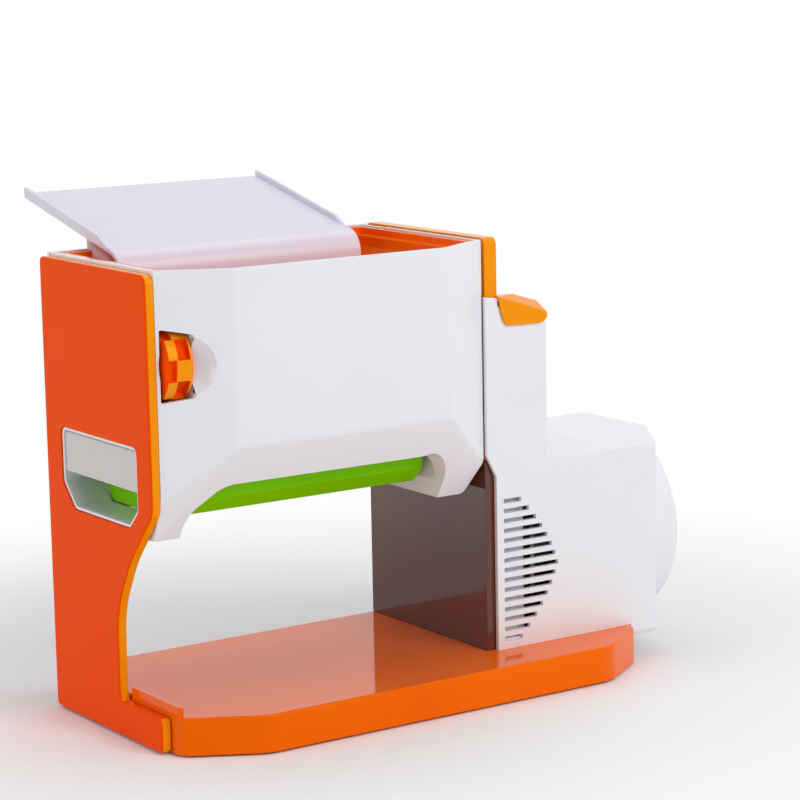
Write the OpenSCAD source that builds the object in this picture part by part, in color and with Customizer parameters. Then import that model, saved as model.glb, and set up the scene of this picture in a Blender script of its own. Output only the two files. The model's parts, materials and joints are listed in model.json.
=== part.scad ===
// Electric pasta maker: a sheet roller and a noodle cutter between two end plates,
// with a geared motor in a housing beside them.
// Sizes are laid out from the outer face of the left end plate, the rear face of the
// end plates and the table, then the whole is centred over its own footprint.

/* [End plates] */
// Height of the end plates
body_h = 240; // [236:1:246]
// Depth of the end plates from rear face to front edge
body_d = 112; // [110:1:116]
// Clear width between the two end plates
span_w = 197; // [195:1:203]
// Thickness of the left end plate
plate_t = 5; // [4:0.5:6]
// Thickness of the right end plate
right_plate_t = 8; // [7:0.5:9]
// Radius of the rounded outer edge of the left plate
edge_r = 2; // [1:0.5:2.5]
// Width of the stiffening flange behind the left leg
flange_w = 2.5; // [2:0.5:3.5]

/* [Base] */
// Height of the base top above the table
base_top = 20.3; // [18:0.1:24]
// Length of the base from left wall to right wall
base_len = 288.4; // [286:0.2:294]
// Reach of the base in front of the rear face
base_reach = 144.4; // [140:0.2:150]
// Gap between the table and the underside of the base
foot_gap = 1.2; // [0.8:0.1:2]
// Radius of the rubber feet
foot_r = 7; // [6:0.5:8]
// Wall of the base moulding
base_wall = 2.6; // [2:0.1:3.2]

/* [Front cover] */
// How far the front face stands forward of the plates
cover_reach = 18; // [16:0.5:22]
// Wall of the white covers
cover_t = 2.4; // [1.8:0.1:3]
// Height of the crease below the front face, above the cutter axes
crease_rise = 20.7; // [17:0.1:24]
// Depth of the underside of the cover below the cutter axes
cover_drop = 27; // [24:0.5:29]
// Depth of the arch over the noodles below the cutter axes
arch_drop = 0.2; // [0:0.1:1.5]

/* [Sheet rollers] */
// Working length of the rollers
roller_w = 142; // [139:0.5:142.5]
// Radius of the rollers
roller_r = 15; // [14.4:0.1:15.2]
// Radius of the roller shafts
shaft_r = 6; // [5:0.25:6.5]
// Depth of the roller axes below the top of the end plates
roller_drop = 52; // [51:0.5:53]
// Narrowest gap between the rollers
nip_gap = 0.3; // [0.2:0.05:0.6]
// How far the front roller moves away at the widest setting
gap_travel = 2.5; // [1.5:0.1:2.5]
// Teeth of the two gears that join the rollers
roller_teeth = 15; // [15:1:17]

/* [Thickness dial] */
// Radius of the thumbwheel
dial_r = 21; // [20:0.25:21.5]
// Width of the thumbwheel
dial_w = 11; // [9:0.5:11.5]
// Radius of the dial shaft
dial_shaft_r = 4; // [3:0.25:4.5]
// Largest radius of the spiral cams
cam_r = 12; // [11:0.25:12.5]
// Turn of the dial from thinnest to thickest
dial_turn = 270; // [180:5:280]

/* [Cutter cassette] */
// Radius over the cutting rings
ring_r = 13.6; // [13.4:0.05:13.9]
// Distance between the two cutter axes
cutter_gap = 26; // [26:0.1:26.4]
// Depth of the cutter axes below the roller axes
cutter_drop = 55; // [54.4:0.1:55.6]
// Pitch of the cutting rings, two noodles wide
ring_pitch = 5; // [4:0.25:7]
// Teeth of the two cutter gears
cutter_teeth = 16; // [15:1:18]
// Teeth of the idler between roller and cutter
idler_teeth = 18; // [18:1:20]
// Wall of the cassette
cassette_t = 2.4; // [2:0.1:3]

/* [Feed tray] */
// Width of the feed tray
tray_w = 147; // [142:0.5:150]
// Thickness of the feed tray
tray_t = 3; // [2:0.25:3.5]
// Slope of the feed tray in degrees
tray_slope = 13.3; // [11:0.1:15]
// Reach of the feed tray behind the rear face
tray_reach = 62; // [50:1:70]

/* [Drive] */
// Width of the gear tower to the right of the end plate
tower_w = 30; // [30:0.5:33]
// Height of the tower's left edge above the gear on the rear roller
tower_rise = 8.25; // [7.5:0.05:9]
// Length of the motor housing to the right of the tower
housing_w = 75; // [73:0.5:78]
// Height of the motor housing
housing_h = 129; // [127:0.25:131]
// Radius of the motor end cap
cap_r = 55.1; // [54:0.1:56]
// Thickness of the motor end cap
cap_t = 19; // [15:0.5:22]
// Number of vent slots, an odd number
vents = 15; // [11:2:15]
// Height of one vent slot
vent_h = 2.2; // [1.6:0.1:2.6]
// Teeth of the motor pinion
pinion_teeth = 16; // [15:1:17]
// Teeth of the large gear on the lower pin
wheel_teeth = 48; // [47:1:50]
// Teeth of the small gear on the lower pin
second_teeth = 20; // [19:1:21]
// Teeth of the gear on the upper pin
upper_teeth = 32; // [31:1:34]
// Teeth of the gear on the rear roller shaft
drive_teeth = 20; // [19:1:20]
// Travel of the power key
key_travel = 2; // [1:0.25:2.2]

/* [Hidden] */
$fn = 64;

running = 0.05;         // radial clearance of a shaft in its bore
slack = 0.3;            // clearance between parts that move past each other
seat = 0.02;            // clearance between parts that are pressed together

// stations across the machine
left_in = plate_t;
right_in = left_in + span_w;
right_out = right_in + right_plate_t;
cover_right = right_in - 2;
tower_right = right_out + tower_w;
housing_right = tower_right + housing_w;
cap_right = housing_right + cap_t;
base_left = left_in + 3.3;
base_right = base_left + base_len;

frame_t = 3;
end_gap = 0.5;
frame_l = left_in + 18;
frame_l_in = frame_l + frame_t;
roller_x = frame_l_in + end_gap;
frame_r_in = roller_x + roller_w + end_gap;
frame_r = frame_r_in + frame_t;

cheek_x = 176.6;        // inner face of the right cheek
gear_a = cheek_x + cover_t + slack;     // plane of the cutter gears
gear_a_w = 7;
gear_b = gear_a + 9.8;  // plane of the gears that join the rollers
gear_b_w = 8;
gear_c = right_out + 3; // planes of the tower gears
gear_c_w = 8;
gear_d = gear_c + 11.5;
gear_d_w = 7;
gear_plate_x = gear_d + gear_d_w + 3;
gear_plate_t = 2.5;

// heights that follow the top of the end plates
roller_z = body_h - roller_drop;
cutter_z = roller_z - cutter_drop;
crease_z = cutter_z + crease_rise;
cover_low = cutter_z - cover_drop;
arch_z = cutter_z - arch_drop;
knee_z = [cutter_z - 5, cutter_z - 9];     // where the cover's side facets end, left and right

// places across the depth and height: [y, z]
tower_front = -body_d - 2.6;
nip_y = -52;
rear_axis = [nip_y + roller_r, roller_z];
front_axis = [nip_y - roller_r - nip_gap, roller_z];
cutter_rear = [nip_y + cutter_gap / 2, cutter_z];
cutter_front = [nip_y - cutter_gap / 2, cutter_z];
dial_axis = [-99, roller_z + 6.5];
motor_axis = [tower_front / 2 - 1.1, housing_h / 2 + 3.4];

// gears: the modules follow from the centre distances
roller_mod = 2 * roller_r / roller_teeth;
cutter_mod = cutter_gap / cutter_teeth;
gear_chain = (drive_teeth + 2 * upper_teeth + second_teeth + pinion_teeth + wheel_teeth) / 2;
chain_bend = 1.0329;    // how much longer the bent chain of gears is than the straight way
tower_mod = chain_bend * norm(motor_axis - rear_axis) / gear_chain;
idler_reach = cutter_mod * (cutter_teeth + idler_teeth) / 2;
idler_axis = meet(rear_axis, cutter_rear, idler_reach, idler_reach);
upper_reach = tower_mod * (drive_teeth + upper_teeth) / 2;
upper_axis = rear_axis + unit(motor_axis - rear_axis) * upper_reach;
lower_axis = meet(upper_axis, motor_axis,
    tower_mod * (upper_teeth + second_teeth) / 2, tower_mod * (pinion_teeth + wheel_teeth) / 2);
pin_r = 3;
tower_h = rear_axis[1] + (drive_teeth / 2 + 0.9) * tower_mod + tower_rise;

// turn of each gear that brings its teeth into mesh at rest
front_phase = mesh_phase(heading(rear_axis, front_axis), 0, roller_teeth, roller_teeth);
idler_phase = mesh_phase(heading(rear_axis, idler_axis), 0, cutter_teeth, idler_teeth);
cutter_phase = mesh_phase(heading(idler_axis, cutter_rear), idler_phase, idler_teeth, cutter_teeth);
cutter_phase_2 = mesh_phase(heading(cutter_rear, cutter_front), cutter_phase, cutter_teeth, cutter_teeth);
upper_phase = mesh_phase(heading(rear_axis, upper_axis), 0, drive_teeth, upper_teeth);
second_phase = mesh_phase(heading(upper_axis, lower_axis), upper_phase, upper_teeth, second_teeth);
pinion_phase = mesh_phase(heading(lower_axis, motor_axis), second_phase, wheel_teeth, pinion_teeth);

// front roller bearings and cams
block_half = 8.5;
block_front = front_axis[0] - 7.5;
tip_t = 3.5;
tip_face = dial_axis[0] + cam_r + slack;
cam_w = 4.6;
cam_x = [frame_l_in + 0.6, frame_r_in - 0.6 - cam_w];
cam_step = gap_travel / dial_turn;
rod_r = 3;
rod_places = [[-12, roller_z + 8], [-12, cutter_z + 28], [-90, cutter_z + 29]];

// window in the left plate and what passes through it
window_y = [-17, -98];
window_z = [cutter_z - 21.8, cutter_z + 20.5];
window = [[window_y[0], window_z[1], 4], [window_y[1], window_z[1], 4],
    [window_y[1], window_z[0] + 9.8, 3], [window_y[1] + 10, window_z[0], 3],
    [window_y[0] - 12.3, window_z[0], 5], [window_y[0], window_z[0] + 13.2, 5]];
liner_gap = 0.25;
liner_t = 1.6;
cassette_gap = 0.45;
liner_in = liner_gap + liner_t;
cassette_in = liner_in + cassette_gap;
cassette_x = frame_l - 1;
cassette_end = frame_r;
cassette_wall_y = [window_y[1] + cassette_in, window_y[0] - cassette_in];
grip_z = cutter_z - 3;
groove_z = cutter_z + 4;

// front cover
cover_y = -body_d - cover_reach;
cover_top = body_h + 1.8;
cover_back = -24;
cover_front = cover_y - 10;     // clear in front of the cover, where cuts start
crease_x = [left_in + 34.5, cover_right - 31.5];
bevel_y = -body_d + 10;
arch_foot = cover_low - 46;
arch = [[19.8, arch_foot, 0], [20.6, arch_z - 14.8, 14], [38, arch_z, 14], [158, arch_z, 8],
    [165, arch_z + 1.4, 4], [cheek_x, arch_z - 6.8, 5], [cheek_x, arch_foot, 0]];
liner_flange = 1.8;
soffit_y = window_y[1] - liner_flange - slack;

// drive housing
housing_t = 2.4;
housing_bevel = 8.6;
rear_round = 56;
base_y = -base_reach;
housing_low = 13;
vent_pitch = 5.39;
vent_z = 63.5;
vent_x = right_out + 0.8;
vent_len = 35.9;
key_face = tower_front - 1.8;
key_back = tower_front + 6.6;   // depth of the key block at its foot
key_left = right_in + 5.8;
key_ridge = key_left + 20.2;    // where the top of the key bends down to the right
key_low = tower_h - 17.6;
key_top = [tower_h - 1.2, tower_h - 1.8, tower_h - 5.4];    // at the left edge, the ridge and the right edge
key_rim = [tower_h - 1.2, tower_h - 8.2, tower_h - 11.8];   // the same along the front
key_profile = [[key_left, key_top[0]], [key_left + 2.7, key_low + 5.5], [key_left + 5, key_low + 0.6],
    [tower_right - 4, key_low], [tower_right - 1, key_low + 1.4], [tower_right, key_low + 4],
    [tower_right - 0.8, key_rim[2]], [key_left + 20.9, key_rim[1]]];
above_tower = tower_h + 17.4;   // clear over everything that the tower carries
switch_top = tower_h - 28.6;
switch_h = 18;

tray_back = tray_reach + tray_t * sin(tray_slope);
centre = [cap_right / 2, (tray_back + base_y) / 2, 0];

// --- helpers -------------------------------------------------------------------------

function unit(v) = v / norm(v);
function left_of(v) = [-v[1], v[0]];
function flat2(p) = [p[0], p[1]];
function heading(a, b) = atan2(b[1] - a[1], b[0] - a[0]);

// Centre that lies ra from a and rb from b, on the left of the way from a to b
function meet(a, b, ra, rb) =
    let (d = norm(b - a), s = (ra * ra - rb * rb + d * d) / (2 * d))
    a + unit(b - a) * s - left_of(unit(b - a)) * sqrt(ra * ra - s * s);

// Angle of one tooth of a gear that meshes with another whose tooth stands at phase
function mesh_phase(way, phase, teeth, mate_teeth) =
    way + 180 - 360 / mate_teeth * (0.5 - (way - phase) * teeth / 360);

// Points of a round corner at b
function fillet(a, b, c, r, n) =
    let (u = unit(a - b), w = unit(c - b), h = acos(u * w) / 2, m = b + unit(u + w) * r / sin(h),
        s = b + u * r / tan(h) - m, e = b + w * r / tan(h) - m, f = 180 - 2 * h)
    r == 0 ? [b] : [for (i = [0:n]) m + (s * sin(f * (n - i) / n) + e * sin(f * i / n)) / sin(f)];

// Closed outline from corners given as [x, y, radius]
function outline(p, n = 6) =
    let (k = len(p), q = [for (c = p) flat2(c)])
    [for (i = [0:k - 1]) each fillet(q[(i + k - 1) % k], q[i], q[(i + 1) % k], p[i][2], n)];

// The same outline moved to its left by d
function inset(p, d) =
    let (k = len(p))
    [for (i = [0:k - 1])
        let (m = left_of(unit(p[i] - p[(i + k - 1) % k])), q = left_of(unit(p[(i + 1) % k] - p[i])))
        p[i] + d * (m + q) / (1 + m * q)];

// Corners [x, y, radius] moved inward by d, with their radii to match
function shrink(p, d) =
    let (q = inset([for (c = p) flat2(c)], d))
    [for (i = [0:len(p) - 1]) [q[i][0], q[i][1], max(p[i][2] - d, 0.4)]];

// Skin through rings of points that all have the same number of points;
// looped joins the last ring to the first instead of closing both ends
module loft(rings, looped = false) {
    n = len(rings[0]);
    m = len(rings);
    polyhedron(
        points = [for (r = rings) each r],
        faces = concat(
            looped ? [] : [[for (i = [0:n - 1]) i], [for (i = [n - 1:-1:0]) (m - 1) * n + i]],
            [for (j = [0:m - (looped ? 1 : 2)]) for (i = [0:n - 1])
                [j * n + i, (j + 1) % m * n + i, (j + 1) % m * n + (i + 1) % n, j * n + (i + 1) % n]]));
}

module framed() translate(-centre) children();
module along_x(x, w) translate([x, 0, 0]) rotate([90, 0, 90]) linear_extrude(w) children();
module along_y(y, d) translate([0, y + d, 0]) rotate([90, 0, 0]) linear_extrude(d) children();
module rod(x, w, r, at) translate([x, at[0], at[1]]) rotate([0, 90, 0]) cylinder(h = w, r = r);
module block(lo, hi) translate(lo) cube(hi - lo);

// One tooth flank point at radius r on an involute from base radius rb
function involute(r, rb) = r <= rb ? 0 : sqrt(r * r / (rb * rb) - 1) * 180 / PI - acos(rb / r);
function gear_points(teeth, mod, play, add) =
    let (rp = teeth * mod / 2, rb = rp * cos(25), root = rp - 1.25 * mod, tip = rp + add * mod,
        half = 90 / teeth - play / rp * 90 / PI, at_pitch = involute(rp, rb),
        flank = [root, max(root + 0.1, rb), rp, tip])
    [for (t = [0:teeth - 1]) each concat(
        [for (r = flank) let (a = t * 360 / teeth - half - at_pitch + involute(r, rb)) r * [cos(a), sin(a)]],
        [for (i = [3:-1:0]) let (r = flank[i], a = t * 360 / teeth + half + at_pitch - involute(r, rb))
            r * [cos(a), sin(a)]])];

// Spur gear on an axis along x, bored for its shaft
module gear(x, w, at, teeth, mod, phase, bore, play = 0.2, add = 0.9)
    difference() {
        translate([0, at[0], at[1]]) along_x(x, w) rotate(phase) polygon(gear_points(teeth, mod, play, add));
        rod(x - 1, w + 2, bore, at);
    }

// --- base ----------------------------------------------------------------------------

base_outline = outline([
    [base_left, 0, 4], [base_left, 20.6 - base_reach, 6], [base_left + 35.7, base_y, 8],
    [base_right - 36.7, base_y, 8], [base_right, 24.4 - base_reach, 10], [base_right, 0, 4]]);
foot_places = [for (x = [base_left + 16, (base_left + base_right) / 2, base_right - 18])
    for (y = [-14, 30 - base_reach]) [x, y]];
screw_places = [for (x = [right_out + 8, base_right - 40]) for (y = [-7.5, 4.8 - body_d]) [x, y]];
foot_seat = 3;
boss_r = foot_r + 1;
base_ceiling = base_top - base_wall;

module base_plate() color("darkorange") framed() {
    difference() {
        union() {
            difference() {
                loft([for (k = [0:5]) let (a = 18 * k, d = k == 0 ? 0 : edge_r * (1 - sin(90 - a)))
                    [for (p = inset(base_outline, d)) [p[0], p[1],
                        k == 0 ? foot_gap : base_top - edge_r * (1 - sin(a))]]]);
                translate([0, 0, foot_gap - 1])
                    linear_extrude(base_ceiling - foot_gap + 1) polygon(inset(base_outline, base_wall));
            }
            // ribs under the top
            for (x = [base_left + 48 : 48 : base_right - 30])
                block([x, base_y + base_wall, 8], [x + 1.8, -base_wall, base_ceiling + 0.1]);
            for (y = [-100, -50])
                block([base_left + base_wall, y, 8], [base_right - base_wall, y + 1.8, base_ceiling + 0.1]);
            for (p = foot_places)
                translate([p[0], p[1], foot_seat]) cylinder(h = base_ceiling - foot_seat + 0.1, r = boss_r);
            for (p = screw_places)
                translate([p[0], p[1], 7]) cylinder(h = base_ceiling - 7 + 0.1, r = 5);
            // bosses that meet the left end plate
            for (y = [-18, -54])
                rod(left_in, base_left + base_wall - left_in, 5, [y, 10]);
        }
        for (p = foot_places)
            translate([p[0], p[1], 0]) cylinder(h = 10, r = 2.6);
        for (p = screw_places)
            translate([p[0], p[1], 0]) cylinder(h = base_top + 1, r = 2.1);
    }
    // raised lip beside the foot of the left plate
    along_x(base_left - 2.4, 3) polygon(concat(
        [[-75, base_top - 1], [-75, 25.5], [-116, 25.5]],
        [for (a = [75:-15:0]) [-116 - 7 * cos(a), 25.5 - 5 + 5 * sin(a)]],
        [[-123, base_top - 1]]));
}

module rubber_feet() color("dimgray") framed()
    for (p = foot_places)
        translate([p[0], p[1], 0]) {
            cylinder(h = foot_seat, r = foot_r);
            cylinder(h = 9, r = 2.5);
        }

module base_screws() color("silver") framed()
    for (p = screw_places)
        translate([p[0], p[1], 0]) {
            translate([0, 0, 4.6]) cylinder(h = 2.4, r = 3.6);
            translate([0, 0, 5]) cylinder(h = base_top + 5, r = 2);
        }

// --- end plates ----------------------------------------------------------------------

border_w = edge_r + 4;
corner_r = edge_r + 1;
knee = [-body_d + 25.5, cutter_z - 40, 22];
flange_top = knee[1] + 10;
foot_top = base_top - 1.3;
leg_corners = [[-body_d + 40.5, knee[1] - 27, 12], [-body_d + 41, foot_top + 6, 8],
    [-body_d + 39.5, foot_top, 2], [-body_d - 2, foot_top, corner_r], [-body_d - 2, foot_gap, corner_r],
    [0, foot_gap, corner_r]];
left_corners = concat(
    [[0, body_h, corner_r], [-body_d, body_h, corner_r], [-body_d, knee[1] + 29, 5], knee], leg_corners);
left_outline = outline(left_corners, 5);
leg_flange = outline(concat([[0, flange_top, 0], [knee[0] - 8.8, flange_top, 0], knee], leg_corners), 5);

function left_inside(d) = outline(shrink(left_corners, d), 5);

module left_end_plate() color("orangered") framed() {
    difference() {
        union() {
            // rounded border, then the flat of the plate inside it
            loft(concat(
                [for (k = [0:5]) let (a = 22.5 * k, d = k == 5 ? 0 : edge_r * (1 - sin(a)))
                    [for (p = inset(left_outline, d)) [k == 5 ? plate_t : edge_r * (1 - cos(a)), p[0], p[1]]]],
                [for (x = [plate_t, 0]) [for (p = left_inside(border_w)) [x, p[0], p[1]]]]), looped = true);
            along_x(0, plate_t) polygon(left_inside(border_w - 0.1));
            along_x(plate_t - 0.1, flange_w + 0.1) difference() {
                polygon(leg_flange);
                polygon(inset(leg_flange, 2.4));
            }
            rod(plate_t - 0.1, 4.1, dial_shaft_r + 2.5, dial_axis);
            for (p = rod_places)
                rod(plate_t - 0.1, 3.1, rod_r + 2.5, p);
        }
        along_x(-1, plate_t + 2) polygon(outline(window));
        rod(plate_t + 0.4, 9, dial_shaft_r + running, dial_axis);
        for (p = rod_places)
            rod(plate_t, 9, rod_r + seat, p);
    }
}

module right_end_plate() color("orange") framed()
    difference() {
        union() {
            along_x(right_in, right_plate_t)
                polygon(outline([[0, panel_top, 0], [0, body_h + 2.5, 4], [-body_d, body_h + 2.5, 4],
                    [-body_d, panel_top, 0]]));
            block([right_in + panel_t, -body_d, base_top], [right_out, 0, panel_top + 0.1]);
        }
        rod(right_in - 1, right_plate_t + 2, shaft_r + 3, rear_axis);
        rod(right_in + 2, right_plate_t, pin_r + seat, upper_axis);
        rod(right_in + 2, right_plate_t, pin_r + seat, lower_axis);
        for (p = rod_places)
            rod(right_in - 1, 5, rod_r + seat, p);
    }

panel_t = 4.8;
panel_top = cutter_z - 9.2;
module side_panel() color([0.08, 0.07, 0.07]) framed()
    block([right_in - 1, -body_d + 0.2, base_top], [right_in + panel_t, -0.2, panel_top]);

// --- covers --------------------------------------------------------------------------

// Corner points of the front cover, drawn in by d
function cover_hull(d, back, top) = [
    [left_in - d, -body_d + d * 1.6, top], [crease_x[0] + d * 0.3, cover_y + d, top],
    [crease_x[1] - d * 0.3, cover_y + d, top], [cover_right + d, -body_d + d * 1.6, top],
    [left_in - d, back, top], [cover_right + d, back, top],
    [crease_x[0] + d * 0.3, cover_y + d, crease_z + d * 0.5],
    [crease_x[1] - d * 0.3, cover_y + d, crease_z + d * 0.5],
    [left_in - d, -body_d + d * 1.6, knee_z[0] + d * 0.5],
    [cover_right + d, -body_d + d * 1.6, knee_z[1] + d * 1.2],
    [left_in + 1 + d, bevel_y + d * 0.4, cover_low + d],
    [cover_right - 7 - d, bevel_y + d * 0.4, cover_low + d],
    [left_in + 1 + d, back, cover_low + d], [cover_right - 7 - d, back, cover_low + d],
    [left_in - d, back, knee_z[0] + d * 0.5], [cover_right + d, back, knee_z[1] + d * 1.2]];

facet_way = unit([crease_x[0] - left_in, -cover_reach, 0]);
facet_out = [facet_way[1], -facet_way[0], 0];
scoop_at = [left_in, -body_d, dial_axis[1]] + facet_way * 17.4 + facet_out * 14.5;
dial_window = [[left_in + 1.7, dial_axis[1] - 18, 1], [left_in + 14.4, dial_axis[1] - 16.2, 2],
    [left_in + 17.7, dial_axis[1], 20], [left_in + 14.4, dial_axis[1] + 16, 2],
    [left_in + 1.7, dial_axis[1] + 18.5, 1]];

module cover_solid(d, back, top) hull() for (p = cover_hull(d, back, top)) translate(p) cube(0.001);

module front_cover() color("whitesmoke") framed()
    difference() {
        union() {
            difference() {
                cover_solid(0, cover_back, cover_top);
                cover_solid(cover_t, cover_back + 4, cover_top + 3.2);
            }
            // soffit that lines the arch, and the wall of the right cheek
            intersection() {
                cover_solid(0.1, cover_back, body_h);
                union() {
                    along_y(cover_front, soffit_y - cover_front) difference() {
                        polygon(inset(outline(arch), -cover_t));
                        polygon(outline(arch));
                    }
                    block([cheek_x, cover_y, cover_low - 16], [cheek_x + cover_t, cover_back, cutter_z + 18]);
                }
            }
            // bowl of the finger scoop
            intersection() {
                cover_solid(0.1, cover_back, body_h);
                translate(scoop_at) sphere(r = 19 + cover_t);
                block([left_in + 8, cover_front, dial_axis[1] - 35],
                    [left_in + 60, -body_d + 12, dial_axis[1] + 35]);
            }
        }
        // arch, open to the front and below
        along_y(cover_front, -cover_front) polygon(outline(arch));
        // room for the cassette and its liner behind the left cheek
        block([0, soffit_y - 0.1, cover_low + cover_t + 0.2], [cassette_x + 1, 10, cover_top + 1]);
        translate(scoop_at) sphere(r = 19);
        along_y(cover_front, 40) polygon(outline(dial_window));
        rod(dial_x - 0.5, dial_w + 1, dial_r + 0.6, dial_axis);
        for (c = [cutter_rear, cutter_front])
            rod(cheek_x - 1, 8, cutter_gap / 2 + cutter_mod + 0.9, c);
        // nothing stands beside the end plates
        block([left_in - 1, cover_back + 3.9, cover_low - 16], [right_in, 20, cover_top + 1]);
    }

module rear_cover() color("whitesmoke") framed() {
    block([left_in, -cover_t, panel_top + seat], [right_in, 0, cover_top]);
    block([left_in, -cover_t, cover_low - 2], [right_in - 1 - seat, 0, panel_top + 1]);
    block([left_in + 3.2, -20, cover_low - 2], [right_in - 1, -cover_t + 0.1, cover_low + 0.4]);
}

module window_liner() color("white") framed()
    difference() {
        union() {
            along_x(0.6, cassette_x - 1.1) polygon(outline(shrink(window, liner_gap)));
            along_x(left_in, 1.6) polygon(outline(shrink(window, -liner_flange)));
        }
        along_x(-1, cassette_x + 10) polygon(outline(shrink(window, liner_in)));
    }

// --- hopper and tray -----------------------------------------------------------------

hopper_top = body_h + 1;
hopper_x = [left_in + 12, frame_r];
mouth_x = [frame_l_in + 0.5, frame_r_in - 0.5];
mouth_y = [front_axis[0] - 1.7, rear_axis[0] + 1];
mouth_z = roller_z + roller_r + 2;
funnel_t = 2.2;

// Funnel from the rim down to the mouth over the rollers, drawn out by d
module funnel(d, drop)
    hull() {
        translate([0, 0, hopper_top - 9]) linear_extrude(9 + drop) polygon([
            [hopper_x[0] - d, -3.4 + d * 0.2], [hopper_x[0] - d, -body_d - d * 0.6],
            [crease_x[0] - 3, cover_y + 8.4 - d], [hopper_x[1] + d, cover_y + 8.4 - d],
            [hopper_x[1] + d, -3.4 + d * 0.2]]);
        block([mouth_x[0] - d, mouth_y[0] - d, mouth_z - drop], [mouth_x[1] + d, mouth_y[1] + d, mouth_z + 1]);
    }

module hopper() color("orange") framed()
    difference() {
        union() {
            // rim that fills the top of the covers
            translate([0, 0, hopper_top - 2.4]) linear_extrude(2.4) polygon([
                [left_in + 0.2, -cover_t - 0.1], [left_in + 0.2, -body_d + cover_t + 0.4],
                [crease_x[0] + 1, cover_y + cover_t + 0.3], [crease_x[1] - 1, cover_y + cover_t + 0.3],
                [cover_right, -body_d + cover_t + 0.4], [right_in - 0.2, -body_d + cover_t + 0.4],
                [right_in - 0.2, -cover_t - 0.1]]);
            intersection() {
                funnel(funnel_t, 0);
                block([0, cover_y, mouth_z], [300, -cover_t - 0.1, hopper_top - 1]);
            }
        }
        funnel(0, 1);
    }

tray_top_back = [tray_reach, body_h + 30];
lip_y = -33.5;
lip_top = [lip_y, tray_top_back[1] - (tray_reach - lip_y) * tan(tray_slope)];
lip_r = 13;
// Upper skin of the tray: a straight board, then a lip that rolls over to vertical
function tray_skin(d) = concat(
    [tray_top_back + d * [sin(tray_slope), -cos(tray_slope)]],
    [for (a = [90 + tray_slope : 9.6 : 180.01])
        lip_top + (lip_r - d) * [cos(a), sin(a)] - lip_r * [cos(90 + tray_slope), sin(90 + tray_slope)]],
    [lip_top + [-(lip_r - d) - lip_r * cos(90 + tray_slope), -lip_r * sin(90 + tray_slope) - 3]]);
function board_under(y) = tray_top_back[1] - (tray_reach - y) * tan(tray_slope) - tray_t / cos(tray_slope);
tray_x = cassette_x + (cassette_end - cassette_x - tray_w) / 2;

module feed_tray() color("lavender") framed() {
    under = tray_skin(tray_t);
    along_x(tray_x, tray_w) polygon(concat(tray_skin(0), [for (i = [len(under) - 1:-1:0]) under[i]]));
    // two ribs that hang inside the hopper and bear on its rear rim
    for (x = [tray_x + 3, tray_x + tray_w - 6])
        along_x(x, 3) polygon(concat(
            [for (y = [12, -27]) [y, board_under(y) + 0.2]],
            [[-27, hopper_top - 6], [-6, hopper_top - 6], [-6, cover_top + slack], [4, cover_top + slack],
                [12, cover_top + 6]]));
}

// --- roller frame --------------------------------------------------------------------

frame_outline = outline([
    [-6, cutter_z + 22.5, 3], [-6, roller_z + 15, 3], [-106, roller_z + 15, 3],
    [-106, roller_z - 6, 4], [-96, cutter_z + 22.5, 4]]);

module frame_body(x)
    difference() {
        along_x(x, frame_t) polygon(frame_outline);
        rod(x - 1, frame_t + 2, shaft_r + 3, rear_axis);
        rod(x - 1, frame_t + 2, dial_shaft_r + running, dial_axis);
        for (p = rod_places)
            rod(x - 1, frame_t + 2, rod_r + seat, p);
        // slot for the bearing block and the tail that follows the cam
        block([x - 1, block_front - gap_travel - 12.5, roller_z - block_half - 0.15],
            [x + frame_t + 1, front_axis[0] + 9, roller_z + block_half + 0.15]);
        rod(x - 1, frame_t + 2, 7, [-58, cutter_z + 34]);
    }

module left_side_frame() color("silver") framed() frame_body(frame_l);

module right_side_frame() color("silver") framed()
    difference() {
        frame_body(frame_r_in);
        rod(frame_r_in - 1, frame_t + 2, pin_r + seat, idler_axis);
    }

module tie_rods() color("gray") framed()
    for (p = rod_places)
        rod(plate_t + 0.2, span_w + 3, rod_r, p);

module roller_bushes() color("peru") framed()
    for (x = [[frame_l, frame_t], [frame_r_in, frame_t], [right_in, right_plate_t]])
        difference() {
            rod(x[0], x[1], shaft_r + 3 - seat, rear_axis);
            rod(x[0] - 1, x[1] + 2, shaft_r + running, rear_axis);
        }

scrape_a = 50;
module scraper(axis, side, clear)
    along_x(frame_l_in, frame_r_in - frame_l_in) polygon([
        axis + (roller_r + clear) * [side * cos(scrape_a), -sin(scrape_a)],
        axis + (roller_r + clear + 0.2) * [side * cos(scrape_a), -sin(scrape_a)] + [side * 1, 0.6],
        axis + [side * (roller_r + clear + 5), -roller_r - 5],
        axis + [side * (roller_r + clear + 2), -roller_r - 5]]);

module scrapers() color("lightgray") framed() {
    scraper(rear_axis, 1, slack);
    scraper(front_axis, -1, gap_travel + slack + 0.4);
}

// --- rollers -------------------------------------------------------------------------

module roller_solid(axis, x0, x1)
    translate([0, axis[0], axis[1]]) rotate([0, 90, 0]) rotate_extrude() polygon([
        [0, x0], [shaft_r - 0.8, x0], [shaft_r, x0 + 0.8], [shaft_r, roller_x],
        [roller_r - 0.6, roller_x], [roller_r, roller_x + 0.6],
        [roller_r, roller_x + roller_w - 0.6], [roller_r - 0.6, roller_x + roller_w],
        [shaft_r, roller_x + roller_w], [shaft_r, x1 - 0.8], [shaft_r - 0.8, x1], [0, x1]]);

module rear_roller() color("gainsboro") framed()
    roller_solid(rear_axis, frame_l - 2, gear_c + gear_c_w + 1);

module rear_roller_gears() color("ivory") framed() {
    gear(gear_a, gear_a_w, rear_axis, cutter_teeth, cutter_mod, 0, shaft_r + seat);
    gear(gear_b, gear_b_w, rear_axis, roller_teeth, roller_mod, 0, shaft_r + seat);
    gear(gear_c, gear_c_w, rear_axis, drive_teeth, tower_mod, 0, shaft_r + seat);
}

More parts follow.
